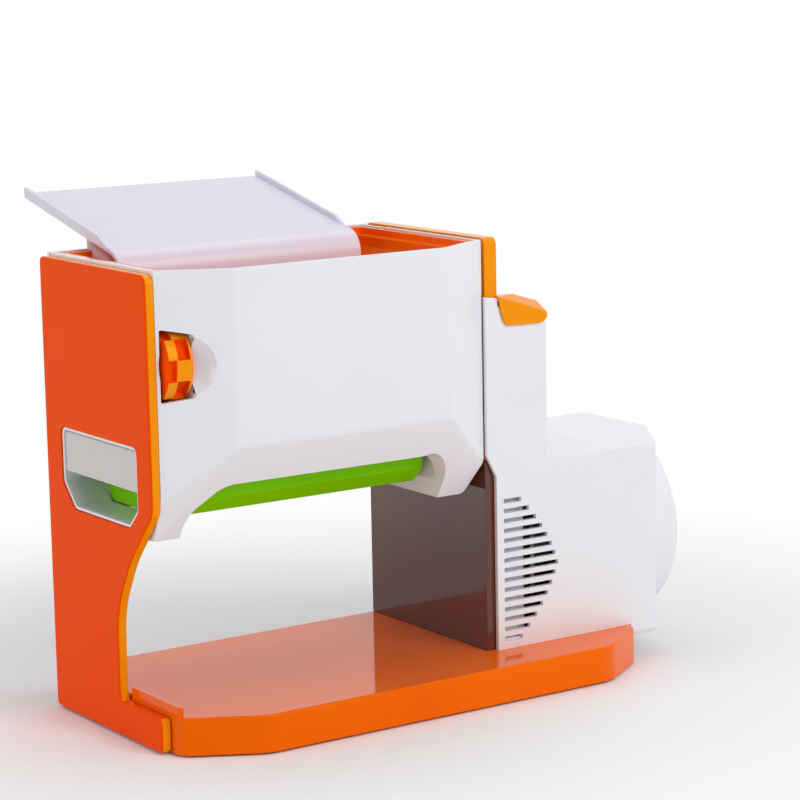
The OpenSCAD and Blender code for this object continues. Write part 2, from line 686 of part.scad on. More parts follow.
module front_roller() color("gainsboro") framed()
    roller_solid(front_axis, frame_l - 3, gear_b + gear_b_w + 1);

module front_roller_gear() color("ivory") framed()
    gear(gear_b, gear_b_w, front_axis, roller_teeth, roller_mod, front_phase, shaft_r + seat);

module bearing_blocks() color("tan") framed()
    for (side = [0, 1]) {
        x = side == 0 ? frame_l : frame_r_in;
        tip_x = side == 0 ? [x, cam_x[0] + cam_w] : [cam_x[1], x + frame_t];
        flange_x = side == 0 ? [x - 3, x - 0.2] : [x + frame_t + 0.2, x + frame_t + 3];
        difference() {
            union() {
                block([min(x, flange_x[0]), block_front, roller_z - block_half],
                    [max(x + frame_t, flange_x[1]), front_axis[0] + 7.5, roller_z + block_half]);
                block([flange_x[0], block_front, roller_z - block_half - 2.3],
                    [flange_x[1], front_axis[0] + 7.5, roller_z + block_half + 2.3]);
                block([x, tip_face, roller_z], [x + frame_t, block_front + 1, roller_z + block_half]);
                block([tip_x[0], tip_face, roller_z], [tip_x[1], tip_face + tip_t, roller_z + block_half]);
            }
            rod(x - 5, 13, shaft_r + running, front_axis);
        }
    }

// --- thickness dial ------------------------------------------------------------------

dial_x = left_in + 5.5;
dial_rest = 28;
grip_d = 2;
module thickness_dial() color("orange") framed()
    difference() {
        // nine broad grip ribs round the rim
        translate([0, dial_axis[0], dial_axis[1]]) along_x(dial_x, dial_w) polygon([
            for (i = [0:8]) for (q = [[-17, grip_d], [-13, 0], [-4, 0], [4, 0], [13, 0], [17, grip_d]])
                let (a = dial_rest + 40 * i + q[0]) (dial_r - q[1]) * [cos(a), sin(a)]]);
        rod(dial_x - 1, dial_w + 2, dial_shaft_r + seat, dial_axis);
    }

// Spiral that shrinks evenly with the angle, so the roller gap follows the dial
cam_points = [for (a = [-20 : 10 : dial_turn + 20]) (cam_r - cam_step * a) * [cos(-a), sin(-a)]];

module dial_shaft() color("silver") framed()
    rod(plate_t + 0.8, frame_r + 2.5 - plate_t - 0.8, dial_shaft_r, dial_axis);

module gap_cams() color("silver") framed()
    for (x = cam_x)
        difference() {
            translate([0, dial_axis[0], dial_axis[1]]) along_x(x, cam_w) polygon(cam_points);
            rod(x - 1, cam_w + 2, dial_shaft_r + seat, dial_axis);
        }

// --- cutter cassette -----------------------------------------------------------------

cassette_outline = outline(shrink(window, cassette_in));

module cassette_rails() color("white") framed() {
    // front rail on the soffit, rear rail on a shelf from the rear cover
    block([cassette_x + 1.2, soffit_y, arch_z + 0.6],
        [frame_r, cassette_wall_y[0] - slack, groove_z + 5]);
    block([cassette_x + 1.2, cassette_wall_y[0] - slack - 0.1, groove_z - 0.8],
        [frame_r, cassette_wall_y[0] + 0.8, groove_z + 0.8]);
    block([cassette_x + 1.2, cassette_wall_y[1] + slack, groove_z - 3],
        [frame_r, cassette_wall_y[1] + 3, groove_z + 5]);
    block([cassette_x + 1.2, cassette_wall_y[1] - 0.8, groove_z - 0.8],
        [frame_r, cassette_wall_y[1] + slack + 0.1, groove_z + 0.8]);
    block([cassette_x + 1.2, cassette_wall_y[1] + 2.9, groove_z - 3], [frame_r, -cover_t, groove_z]);
}

module cutter_cassette() color("limegreen") framed()
    difference() {
        along_x(cassette_x, cassette_end - cassette_x) polygon(cassette_outline);
        along_x(cassette_x + 3, cassette_end - cassette_x - 6)
            polygon(outline(shrink(window, cassette_in + cassette_t)));
        // slot for the sheet, mouth for the noodles
        block([cassette_x + 3, nip_y - 12, cutter_z], [cassette_end - 3, nip_y + 12, window_z[1] + 1]);
        block([cassette_x + 3, nip_y - 28, window_z[0] - 1], [cassette_end - 3, nip_y + 20, cutter_z - 10]);
        for (c = [cutter_rear, cutter_front])
            rod(cassette_x - 1, cassette_end - cassette_x + 2, cutter_shaft_r + 2.5, c);
        for (y = cassette_wall_y)
            block([cassette_x - 1, y - 1.1, groove_z - 1.1], [cassette_end + 1, y + 1.1, groove_z + 1.1]);
    }

cutter_shaft_r = 5;
module cassette_bushes() color("peru") framed()
    for (c = [cutter_rear, cutter_front])
        for (x = [cassette_x, cassette_end - 3])
            difference() {
                rod(x, 3, cutter_shaft_r + 2.5 - seat, c);
                rod(x - 1, 5, cutter_shaft_r + running, c);
            }

// Grip that fills the top of the window, drawn in by d, down to height z
function grip_outline(d, z) =
    let (y = cassette_wall_y, top = window_z[1] - cassette_in - d)
    outline([[y[1] - d, z, 0], [y[1] - d, top, 2], [y[0] + d, top, 2], [y[0] + d, z, 0]]);

module pull_handle() color("white") framed()
    difference() {
        along_x(1.2, cassette_x - 1.2) polygon(grip_outline(0, grip_z));
        along_x(3.8, cassette_x) polygon(grip_outline(2, grip_z - 1));
    }

// Rings and grooves turned on one shaft; offset 0 starts with a ring, 1 with a groove
ring_x0 = cassette_x + 3.6;
ring_count = floor((cassette_end - 3.6 - ring_x0) / ring_pitch - 0.5);
ring_w = ring_pitch / 2 - 0.1;
core_r = cutter_gap - ring_r - 0.6;

module cutter(axis, offset)
    translate([0, axis[0], axis[1]]) rotate([0, 90, 0]) rotate_extrude() polygon(concat(
        [[0, cassette_x - 2], [cutter_shaft_r, cassette_x - 2], [cutter_shaft_r, ring_x0], [core_r, ring_x0]],
        [for (i = [0 : ring_count - 1]) let (x = ring_x0 + (i + offset / 2) * ring_pitch + 0.2)
            each [[core_r, x], [ring_r, x], [ring_r, x + ring_w], [core_r, x + ring_w]]],
        [[core_r, cassette_end - 3.6], [cutter_shaft_r, cassette_end - 3.6],
            [cutter_shaft_r, gear_a + gear_a_w + 1], [0, gear_a + gear_a_w + 1]]));

module rear_cutter() color("gainsboro") framed() cutter(cutter_rear, 0);
module front_cutter() color("gainsboro") framed() cutter(cutter_front, 1);

module rear_cutter_gear() color("ivory") framed()
    gear(gear_a, gear_a_w, cutter_rear, cutter_teeth, cutter_mod, cutter_phase, cutter_shaft_r + seat);
module front_cutter_gear() color("ivory") framed()
    gear(gear_a, gear_a_w, cutter_front, cutter_teeth, cutter_mod, cutter_phase_2, cutter_shaft_r + seat);

// Fingers that reach into the grooves and free the noodles
module comb(axis, side, offset) {
    along_x(cassette_x + 3, cassette_end - cassette_x - 6) polygon([
        axis + [side * 14.6, -6.6], axis + [side * 17, -6.6], axis + [side * 17, 2], axis + [side * 14.6, 2]]);
    for (i = [0 : ring_count - 1])
        along_x(ring_x0 + (i + 0.5 + offset / 2) * ring_pitch + 0.25, ring_w - 0.3) polygon([
            axis + [side * 9.8, -8], axis + [side * 14.8, -6.4], axis + [side * 14.8, -3]]);
}

module cutter_combs() color("silver") framed() {
    comb(cutter_rear, 1, 0);
    comb(cutter_front, -1, 1);
}

module idler_gear() color("ivory") framed()
    gear(gear_a, gear_a_w, idler_axis, idler_teeth, cutter_mod, idler_phase, pin_r + running);

// --- drive ---------------------------------------------------------------------------

// Section of the motor housing: bevel in front, large round behind; drawn in by d
function housing_outline(d) = inset(outline([
    [0, base_top, 0], [0, housing_h, rear_round], [tower_front + housing_bevel, housing_h, 0],
    [tower_front, housing_h - housing_bevel, 0], [tower_front, base_top, 0]], 12), d);

// Length of the nth vent from the middle one; their right ends lie on a parabola
function vent_run(n) = vent_len - 1.5 * n - 0.28 * n * n;

// Sloping top of the tower, lowered by d
module under_slope(d, y0, y1)
    along_y(y0, y1 - y0) polygon([
        [right_in + 1, 0], [right_in + 1, tower_h - d], [tower_right, tower_h - 5 - d], [tower_right, 0]]);

// All that lies in front of the sloping back of the power key
module key_cut(d)
    hull() {
        block([right_in, cover_front, above_tower - 80], [tower_right + 20, key_back + d, above_tower - 79]);
        block([right_in, cover_front, above_tower], [tower_right + 20, key_back + 4 + d, above_tower + 1]);
    }

module drive_housing() color("whitesmoke") framed() {
    // bosses for the screws that come up through the base
    for (p = screw_places)
        difference() {
            translate([p[0], p[1], base_top]) cylinder(h = 14, r = 5.5);
            translate([p[0], p[1], base_top - 1]) cylinder(h = 12, r = 2 + seat);
        }
    difference() {
        union() {
            along_x(right_out, housing_right - right_out) polygon(housing_outline(0));
            // tower and the lip that covers the front edge of the end plate
            intersection() {
                under_slope(0, cover_front, 10);
                union() {
                    block([right_out, tower_front, base_top], [tower_right, 0, above_tower]);
                    along_y(tower_front, housing_t) polygon([
                        [right_in + 1, above_tower], [right_in + 1, panel_top + 1.2],
                        [right_in + 5.5, panel_top - 8.8], [right_in + 5.5, base_top],
                        [right_out + 1, base_top], [right_out + 1, above_tower]]);
                }
            }
            // flare between the tower and the housing
            intersection() {
                loft([for (k = [0:5]) let (a = 18 * k)
                    [for (p = housing_outline(-flare_r * (1 - sin(a)) - 0.01))
                        [tower_right - 0.01 + flare_r * (1 - cos(a)), p[0], p[1]]]]);
                block([tower_right - 1, tower_front, base_top], [tower_right + 20, 0, housing_h + 20]);
            }
            // end that overhangs the base
            along_x(base_right + 0.4, housing_right - base_right - 0.4)
                polygon(outline([[0, base_top + 1, 0], [tower_front, base_top + 1, 0],
                    [tower_front, housing_low, 5], [0, housing_low, 5]]));
        }
        // inside of the tower: low in front of the key block, high behind it
        intersection() {
            under_slope(housing_t + 1, cover_front, 10);
            union() {
                block([right_out - 9, key_back + 12, base_top - 1],
                    [tower_right - housing_t, -housing_t, above_tower]);
                block([right_out - 9, tower_front + housing_t, base_top - 1],
                    [tower_right - housing_t, key_back + 18, switch_top + 2]);
            }
        }
        // inside of the motor housing
        along_x(right_out - 1, housing_right - right_out + 1 - housing_t)
            polygon([for (p = housing_outline(housing_t)) [p[0], p[1] < base_top + 4 ? base_top - 1 : p[1]]]);
        block([base_right + 0.4 + housing_t, tower_front + housing_t, housing_low + housing_t],
            [housing_right - housing_t, -housing_t, base_top + 5]);
        rod(housing_right - 10, 20, 50, motor_axis);
        // vents
        for (k = [-(vents - 1) / 2 : (vents - 1) / 2])
            block([vent_x, tower_front - 1, vent_z + k * vent_pitch - vent_h / 2],
                [vent_x + vent_run(abs(k)), tower_front + 4, vent_z + k * vent_pitch + vent_h / 2]);
        // step under the power key
        intersection() {
            key_cut(slack);
            along_y(cover_front, 60) polygon([[key_left - 0.4, above_tower], [key_left - 0.4, step_z],
                [tower_right + 1, step_z - 11], [tower_right + 1, above_tower]]);
        }
        translate([key_stem[0], key_stem[1], switch_top - 14]) cylinder(h = 50, r = stem_r + slack);
        // socket of the power inlet
        block([inlet_x, -10, inlet_z], [inlet_x + inlet_w, 5, inlet_z + inlet_h]);
    }
}

flare_r = 7.5;
stem_r = 2.5;
step_z = tower_h - 4.2 - key_travel - slack;    // step under the key block at its left end
key_stem = [right_out + 15, tower_front + 6];
inlet_x = housing_right - 40;
inlet_z = 30;
inlet_w = 24;
inlet_h = 16;

module motor_end_cap() color("whitesmoke") framed()
    translate([0, motor_axis[0], motor_axis[1]]) rotate([0, 90, 0]) rotate_extrude($fn = 96) polygon(concat(
        [[0, cap_right], [0, cap_right - 3], [cap_r - 6, cap_right - 3], [cap_r - 3, cap_right - 6],
            [cap_r - 3, housing_right + 3], [46.5, housing_right + 3], [46.5, housing_right - 6],
            [49.8, housing_right - 6], [49.8, housing_right]],
        [[cap_r, housing_right]],
        [for (a = [0 : 15 : 90]) [cap_r - 5 + 5 * cos(a), cap_right - 5 + 5 * sin(a)]]));

module gear_plate() color("silver") framed()
    difference() {
        along_x(gear_plate_x, gear_plate_t) polygon(outline([
            [-8, base_top, 0], [-8, roller_z - 8, 6], [tower_front + 14.6, roller_z - 8, 6],
            [tower_front + 8.6, housing_h - 9, 6], [tower_front + 8.6, base_top, 0]]));
        rod(gear_plate_x - 1, gear_plate_t + 2, 9, motor_axis);
        rod(gear_plate_x - 1, gear_plate_t + 2, pin_r + seat, lower_axis);
        rod(gear_plate_x - 1, gear_plate_t + 2, 14, rear_axis + [7, -38]);
    }

module gear_pins() color("gray") framed() {
    rod(right_in + 2.2, gear_d - right_in - 3.4, pin_r, upper_axis);
    rod(right_in + panel_t + 0.1, gear_plate_x + gear_plate_t - right_in - panel_t - 0.1, pin_r, lower_axis);
    rod(frame_r_in + 0.1, gear_a + gear_a_w + 1 - frame_r_in, pin_r, idler_axis);
}

module lower_gear() color("ivory") framed() {
    gear(gear_d, gear_d_w, lower_axis, wheel_teeth, tower_mod, second_phase, pin_r + running);
    gear(gear_c, gear_c_w, lower_axis, second_teeth, tower_mod, second_phase, pin_r + running);
    difference() {
        rod(gear_c + gear_c_w - 0.1, gear_d - gear_c - gear_c_w + 0.2, 8, lower_axis);
        rod(gear_c, 20, pin_r + running, lower_axis);
    }
}

module upper_gear() color("ivory") framed()
    gear(gear_c, gear_c_w, upper_axis, upper_teeth, tower_mod, upper_phase, pin_r + running);

gearbox_len = 15;
motor_shaft_r = 4;
module gearbox() color("dimgray") framed()
    difference() {
        union() {
            rod(gear_plate_x + gear_plate_t, gearbox_len, 34, motor_axis);
            rod(gear_plate_x, gear_plate_t + 1, 8.8, motor_axis);
        }
        rod(gear_plate_x - 1, gearbox_len, motor_shaft_r + running, motor_axis);
    }

module motor() color("silver") framed() {
    rod(gear_plate_x + gear_plate_t + gearbox_len, 46, 42, motor_axis);
    rod(gear_plate_x + gear_plate_t + gearbox_len + 45.9, 6, 12, motor_axis);
}

module motor_pinion() color("ivory") framed() {
    gear(gear_d, gear_d_w, motor_axis, pinion_teeth, tower_mod, pinion_phase, 1);
    rod(gear_d - 2, gear_plate_x + 10 - gear_d, motor_shaft_r, motor_axis);
}

module power_key() color("orange") framed()
    difference() {
        union() {
            // skirt over the face of the tower
            along_y(key_face, 1.4) polygon(key_profile);
            intersection() {
                key_cut(0);
                under_slope(-0.6, cover_front, 0);
                along_y(key_face, 30) polygon([[key_left, key_top[0]], [key_left, key_top[0] - 2.9],
                    [tower_right, key_top[0] - 13.6], [tower_right, key_top[2]], [key_ridge, key_top[1]]]);
                // the top falls to the front
                hull()
                    for (c = [[key_left - 0.8, key_left + 0.2, 0, key_rim[0]],
                        [key_left - 0.8, tower_right + 1, 12, key_top[2]],
                        [key_ridge, key_ridge + 1, 0, key_rim[1]],
                        [tower_right - 1, tower_right, 0, key_rim[2]]])
                        block([c[0], key_face + c[2], key_low - 5], [c[1], key_back + 8, c[3]]);
            }
            translate([key_stem[0], key_stem[1], switch_top + 0.4 + key_travel])
                cylinder(h = 18 - key_travel, r = stem_r);
        }
        block([right_in, tower_front + housing_t, key_low - 15], [right_out + slack, 0, above_tower]);
    }

module power_switch() color([0.15, 0.15, 0.15]) framed()
    block([key_stem[0] - 9, tower_front + housing_t, switch_top - switch_h],
        [key_stem[0] + 9, tower_front + 12.6, switch_top]);

module power_inlet() color([0.12, 0.12, 0.12]) framed()
    difference() {
        block([inlet_x + 0.1, -14, inlet_z + 0.1], [inlet_x + inlet_w - 0.1, -0.4, inlet_z + inlet_h - 0.1]);
        block([inlet_x + 3, -11, inlet_z + 3], [inlet_x + inlet_w - 3, 1, inlet_z + inlet_h - 3]);
    }

base_plate();
rubber_feet();
base_screws();
left_end_plate();
right_end_plate();
side_panel();
front_cover();
rear_cover();
window_liner();
hopper();
feed_tray();
left_side_frame();
right_side_frame();
tie_rods();
roller_bushes();
scrapers();
rear_roller();
rear_roller_gears();
front_roller();
front_roller_gear();
bearing_blocks();
thickness_dial();
dial_shaft();
gap_cams();
cassette_rails();
cutter_cassette();
pull_handle();
cassette_bushes();
cutter_combs();
rear_cutter();
rear_cutter_gear();
front_cutter();
front_cutter_gear();
idler_gear();
drive_housing();
motor_end_cap();
gear_plate();
gear_pins();
lower_gear();
upper_gear();
motor();
gearbox();
motor_pinion();
power_key();
power_switch();
power_inlet();
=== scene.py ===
import json
import math
import bpy
import bmesh
from mathutils import Matrix, Vector


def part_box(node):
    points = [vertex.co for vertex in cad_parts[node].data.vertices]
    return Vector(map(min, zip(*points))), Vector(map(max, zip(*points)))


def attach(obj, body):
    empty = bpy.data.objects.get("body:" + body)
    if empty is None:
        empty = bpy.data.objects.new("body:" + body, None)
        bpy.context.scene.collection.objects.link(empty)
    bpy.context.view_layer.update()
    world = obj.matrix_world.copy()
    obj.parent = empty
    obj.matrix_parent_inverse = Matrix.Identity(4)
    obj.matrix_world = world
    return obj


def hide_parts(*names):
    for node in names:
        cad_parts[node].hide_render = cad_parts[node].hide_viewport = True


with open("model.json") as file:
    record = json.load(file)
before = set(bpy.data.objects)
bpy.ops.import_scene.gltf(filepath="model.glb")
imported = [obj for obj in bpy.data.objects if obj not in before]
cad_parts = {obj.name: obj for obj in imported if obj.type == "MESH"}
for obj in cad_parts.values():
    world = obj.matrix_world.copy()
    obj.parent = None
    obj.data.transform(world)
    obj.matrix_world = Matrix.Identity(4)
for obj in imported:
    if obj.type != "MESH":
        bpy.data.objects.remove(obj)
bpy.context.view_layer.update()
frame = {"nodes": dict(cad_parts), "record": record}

plateLow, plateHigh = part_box("left_end_plate")
corner = Vector((plateLow.x, plateHigh.y, 0.0))  # outer face of the left plate, rear of the plates, table


# placing and editing
def spot(x, y, z):  # millimetres from that corner, as a point of the scene
    return corner + Vector((x, y, z)) / 1000


def inMm(point):
    return (point - corner) * 1000


def onlySelect(obj):
    bpy.ops.object.select_all(action="DESELECT")
    obj.select_set(True)
    bpy.context.view_layer.objects.active = obj


def openMesh(obj, kind="FACE"):
    onlySelect(obj)
    bpy.ops.object.mode_set(mode="EDIT")
    bpy.ops.mesh.select_mode(type=kind)
    bpy.ops.mesh.select_all(action="DESELECT")
    return bmesh.from_edit_mesh(obj.data)


def closeMesh():
    bpy.ops.object.mode_set(mode="OBJECT")


def settle(obj, name):
    obj.name = name
    onlySelect(obj)
    bpy.ops.object.transform_apply(location=True, rotation=True, scale=True)
    return obj


def pickFaces(obj, test):  # test(centre in mm, normal)
    mesh = openMesh(obj, "FACE")
    for face in mesh.faces:
        face.select_set(bool(test(inMm(face.calc_center_median()), face.normal)))
    mesh.select_flush(True)
    bmesh.update_edit_mesh(obj.data)
    return sum(f.select for f in mesh.faces)


def pickEdges(obj, test):  # test(end, end, the normals beside it)
    mesh = openMesh(obj, "EDGE")
    for edge in mesh.edges:
        sides = [f.normal for f in edge.link_faces]
        edge.select_set(bool(test(inMm(edge.verts[0].co), inMm(edge.verts[1].co), sides)))
    bmesh.update_edit_mesh(obj.data)
    return sum(e.select for e in mesh.edges)


def addBox(name, low, high):
    a, b = spot(*low), spot(*high)
    bpy.ops.mesh.primitive_cube_add(size=1, location=(a + b) / 2)
    obj = bpy.context.active_object
    obj.scale = b - a
    return settle(obj, name)


def addRod(name, x0, x1, y, z, radius, sides=64):
    bpy.ops.mesh.primitive_cylinder_add(vertices=sides, radius=radius / 1000, depth=(x1 - x0) / 1000,
                                        location=spot((x0 + x1) / 2, y, z), rotation=(0, math.pi / 2, 0))
    return settle(bpy.context.active_object, name)


def addPost(name, x, y, z0, z1, radius, sides=32):
    bpy.ops.mesh.primitive_cylinder_add(vertices=sides, radius=radius / 1000, depth=(z1 - z0) / 1000,
                                        location=spot(x, y, (z0 + z1) / 2))
    return settle(bpy.context.active_object, name)


def addBall(name, x, y, z, radius):
    bpy.ops.mesh.primitive_uv_sphere_add(segments=64, ring_count=48, radius=radius / 1000,
                                         location=spot(x, y, z))
    return settle(bpy.context.active_object, name)


def copyOf(obj, name):
    onlySelect(obj)
    bpy.ops.object.duplicate()
    twin = bpy.context.active_object
    twin.name = name
    return twin


def traceOutline(name, points, close=True):  # one vertex drawn out from point to point, then filled
    bpy.ops.mesh.primitive_plane_add(size=0.001, location=spot(*points[0]))
    obj = settle(bpy.context.active_object, name)
    openMesh(obj, "VERT")
    bpy.ops.mesh.select_all(action="SELECT")
    bpy.ops.mesh.merge(type="CENTER")
    for here, there in zip(points, points[1:]):
        step = (Vector(there) - Vector(here)) / 1000
        bpy.ops.mesh.extrude_vertices_move(TRANSFORM_OT_translate={"value": step})
    if close:
        bpy.ops.mesh.select_all(action="SELECT")
        bpy.ops.mesh.edge_face_add()
    closeMesh()
    return obj


def roundCorners(obj, setbacks, segments=6):  # pairs of a corner and how far back its round starts
    for point, setback in setbacks:
        mesh = openMesh(obj, "VERT")
        place = spot(*point)
        near = min(mesh.verts, key=lambda v: (v.co - place).length)
        near.select_set(True)
        bpy.ops.mesh.bevel(offset=setback / 1000, offset_type="OFFSET", segments=segments, profile=0.5,
                           affect="VERTICES", clamp_overlap=True)
        closeMesh()
    return obj


def thicken(obj, x=0, y=0, z=0):  # draws a flat outline out to a solid
    openMesh(obj, "FACE")
    bpy.ops.mesh.select_all(action="SELECT")
    bpy.ops.mesh.extrude_region_move(TRANSFORM_OT_translate={"value": (x / 1000, y / 1000, z / 1000)})
    bpy.ops.mesh.select_all(action="SELECT")
    bpy.ops.mesh.normals_make_consistent(inside=False)
    closeMesh()
    return obj


def drawOutline(name, corners, x=0, y=0, z=0, segments=6):  # corners as (point, setback)
    obj = traceOutline(name, [p for p, _ in corners])
    roundCorners(obj, [c for c in corners if c[1]], segments)
    return thicken(obj, x, y, z)


def sliceOff(obj, point, away):  # keeps the side that away points from
    openMesh(obj, "FACE")
    bpy.ops.mesh.select_all(action="SELECT")
    bpy.ops.mesh.bisect(plane_co=spot(*point), plane_no=away, use_fill=True, clear_outer=True, threshold=1e-7)
    closeMesh()


def sliceThrough(obj, p, q, r, inside, back=0.0):  # slices through three points, drawn back into the piece
    p, q, r, inside = Vector(p), Vector(q), Vector(r), Vector(inside)
    away = (q - p).cross(r - p).normalized()
    if away.dot(inside - p) > 0:
        away = -away
    sliceOff(obj, p - away * back, away)


def roundEdges(width, segments):  # rounds the edges picked in edit mode
    bpy.ops.mesh.bevel(offset=width / 1000, offset_type="OFFSET", segments=segments, profile=0.5,
                       affect="EDGES", clamp_overlap=True)
    closeMesh()


def useModifier(obj, kind, **values):
    mod = obj.modifiers.new(kind.title(), kind)
    for key, value in values.items():
        setattr(mod, key, value)
    onlySelect(obj)
    bpy.ops.object.modifier_apply(modifier=mod.name)
    return obj


def combine(obj, tool, operation="DIFFERENCE"):
    useModifier(obj, "BOOLEAN", operation=operation, object=tool, solver="EXACT")
    if not obj.data.vertices:
        print("nothing left of", obj.name, "after", tool.name)
    bpy.data.objects.remove(tool)
    return obj


def grow(obj, by):
    openMesh(obj, "FACE")
    bpy.ops.mesh.select_all(action="SELECT")
    bpy.ops.transform.shrink_fatten(value=by / 1000, use_even_offset=True)
    closeMesh()
    return obj


def joinTo(obj, others):
    bpy.ops.object.select_all(action="DESELECT")
    for o in [obj, *others]:
        o.select_set(True)
    bpy.context.view_layer.objects.active = obj
    bpy.ops.object.join()
    return obj


def cleanMesh(obj):
    openMesh(obj, "FACE")
    bpy.ops.mesh.select_all(action="SELECT")
    bpy.ops.mesh.remove_doubles(threshold=2e-6)
    bpy.ops.mesh.dissolve_limited(angle_limit=math.radians(0.5))
    closeMesh()
    return obj


# as built, this rounding is under 0.1 mm wide, so the edges stay sharp, on the housing, both covers, the
# hopper, the right side frame, the small edges of the base and the inner edges of the left plate
def soften(obj, width, segments=3, angle=32, smooth=35, broad=0):
    cleanMesh(obj)
    useModifier(obj, "BEVEL", width=width / 1000, segments=segments, limit_method="ANGLE",
                angle_limit=math.radians(angle), use_clamp_overlap=True)
    return shade(obj, smooth, broad)


def shade(obj, smooth=35, broad=0):  # faces over broad square mm stay flat right to their edges
    onlySelect(obj)
    bpy.ops.object.shade_smooth_by_angle(angle=math.radians(smooth))
    if broad:
        mesh = openMesh(obj, "EDGE")
        for edge in mesh.edges:
            edge.select_set(any(f.calc_area() * 1e6 > broad for f in edge.link_faces))
        bmesh.update_edit_mesh(obj.data)
        bpy.ops.mesh.mark_sharp()
        closeMesh()
    return useModifier(obj, "WEIGHTED_NORMAL", keep_sharp=True, weight=50)


# materials
def sRgb(code):  # a hex value as linear colour
    parts = [int(code[i:i + 2], 16) / 255 for i in (1, 3, 5)]
    return (*[c / 12.92 if c <= 0.04045 else ((c + 0.055) / 1.055) ** 2.4 for c in parts], 1.0)


def addNode(tree, kind, links=(), **settings):  # links: (input, node, output)
    node = tree.nodes.new(kind)
    for key, value in settings.items():
        if hasattr(node, key):
            setattr(node, key, value)
        else:
            node.inputs[key.replace("_", " ")].default_value = value
    for socket, source, output in links:
        tree.links.new(source.outputs[output], node.inputs[socket])
    return node


def newMaterial(name):
    mat = bpy.data.materials.new(name)
    mat.use_nodes = True
    tree = mat.node_tree
    tree.nodes.clear()
    out = addNode(tree, "ShaderNodeOutputMaterial")
    body = addNode(tree, "ShaderNodeBsdfPrincipled")
    tree.links.new(body.outputs["BSDF"], out.inputs["Surface"])
    coords = addNode(tree, "ShaderNodeTexCoord")
    return mat, tree, body, coords


def perMetre(size):  # a pattern's size in mm, as the scale of its noise
    return 1000 / size


def colourVariation(tree, coords, body, light, dark, size):
    noise = addNode(tree, "ShaderNodeTexNoise", [("Vector", coords, "Object")],
                    Scale=perMetre(size), Detail=3.0, Roughness=0.55)
    ramp = addNode(tree, "ShaderNodeValToRGB", [("Fac", noise, "Fac")])
    ramp.color_ramp.elements[0].position, ramp.color_ramp.elements[0].color = 0.3, sRgb(dark)
    ramp.color_ramp.elements[1].position, ramp.color_ramp.elements[1].color = 0.7, sRgb(light)
    tree.links.new(ramp.outputs["Color"], body.inputs["Base Color"])


def roughnessVariation(tree, coords, body, low, high, size):
    noise = addNode(tree, "ShaderNodeTexNoise", [("Vector", coords, "Object")],
                    Scale=perMetre(size), Detail=4.0, Roughness=0.6)
    span = addNode(tree, "ShaderNodeMapRange", [("Value", noise, "Fac")])
    span.inputs["From Min"].default_value, span.inputs["From Max"].default_value = 0.3, 0.7
    span.inputs["To Min"].default_value, span.inputs["To Max"].default_value = low, high
    tree.links.new(span.outputs["Result"], body.inputs["Roughness"])


def surfaceBump(tree, coords, body, size, depth, strength, stretch=(1, 1, 1)):  # size and depth in mm
    mapping = addNode(tree, "ShaderNodeMapping", [("Vector", coords, "Object")], Scale=stretch)
    noise = addNode(tree, "ShaderNodeTexNoise", [("Vector", mapping, "Vector")], Detail=3.0, Roughness=0.5)
    noise.inputs["Scale"].default_value = perMetre(size)
    bump = addNode(tree, "ShaderNodeBump", [("Height", noise, "Fac")],
                   Strength=strength, Distance=depth / 1000)
    tree.links.new(bump.outputs["Normal"], body.inputs["Normal"])


# the grain of the mould, about 0.1 mm, is too fine to show and is drawn 2.5 mm wide
def mouldedPlastic(name, light, dark, rough=(0.16, 0.24), coat=0.0, specular=0.5, tint="#FFFFFF"):
    mat, tree, body, coords = newMaterial(name)
    colourVariation(tree, coords, body, light, dark, size=111)
    roughnessVariation(tree, coords, body, *rough, size=28.6)
    surfaceBump(tree, coords, body, size=2.5, depth=0.02, strength=0.05)
    body.inputs["IOR"].default_value = 1.53
    body.inputs["Specular IOR Level"].default_value = specular
    body.inputs["Specular Tint"].default_value = sRgb(tint)
    body.inputs["Coat Weight"].default_value = coat
    body.inputs["Coat Roughness"].default_value = 0.06
    return mat


# ground lines are finer than 0.1 mm; the stretch below draws them 0.8 mm wide along x, so that they show
def bareMetal(name, colour, rough=(0.22, 0.34), stretch=(1, 60, 60)):
    mat, tree, body, coords = newMaterial(name)
    colourVariation(tree, coords, body, colour, "#8E9094", size=33.3)
    roughnessVariation(tree, coords, body, *rough, size=16.7)
    surfaceBump(tree, coords, body, size=50, depth=0.3, strength=0.25, stretch=stretch)
    body.inputs["Metallic"].default_value = 1.0
    return mat


def softRubber(name, light, dark):  # its grain of about 0.3 mm is drawn 1.1 mm wide, so that it shows
    mat, tree, body, coords = newMaterial(name)
    colourVariation(tree, coords, body, light, dark, size=25)
    roughnessVariation(tree, coords, body, 0.65, 0.8, size=12.5)
    surfaceBump(tree, coords, body, size=1.11, depth=0.2, strength=0.3)
    return mat


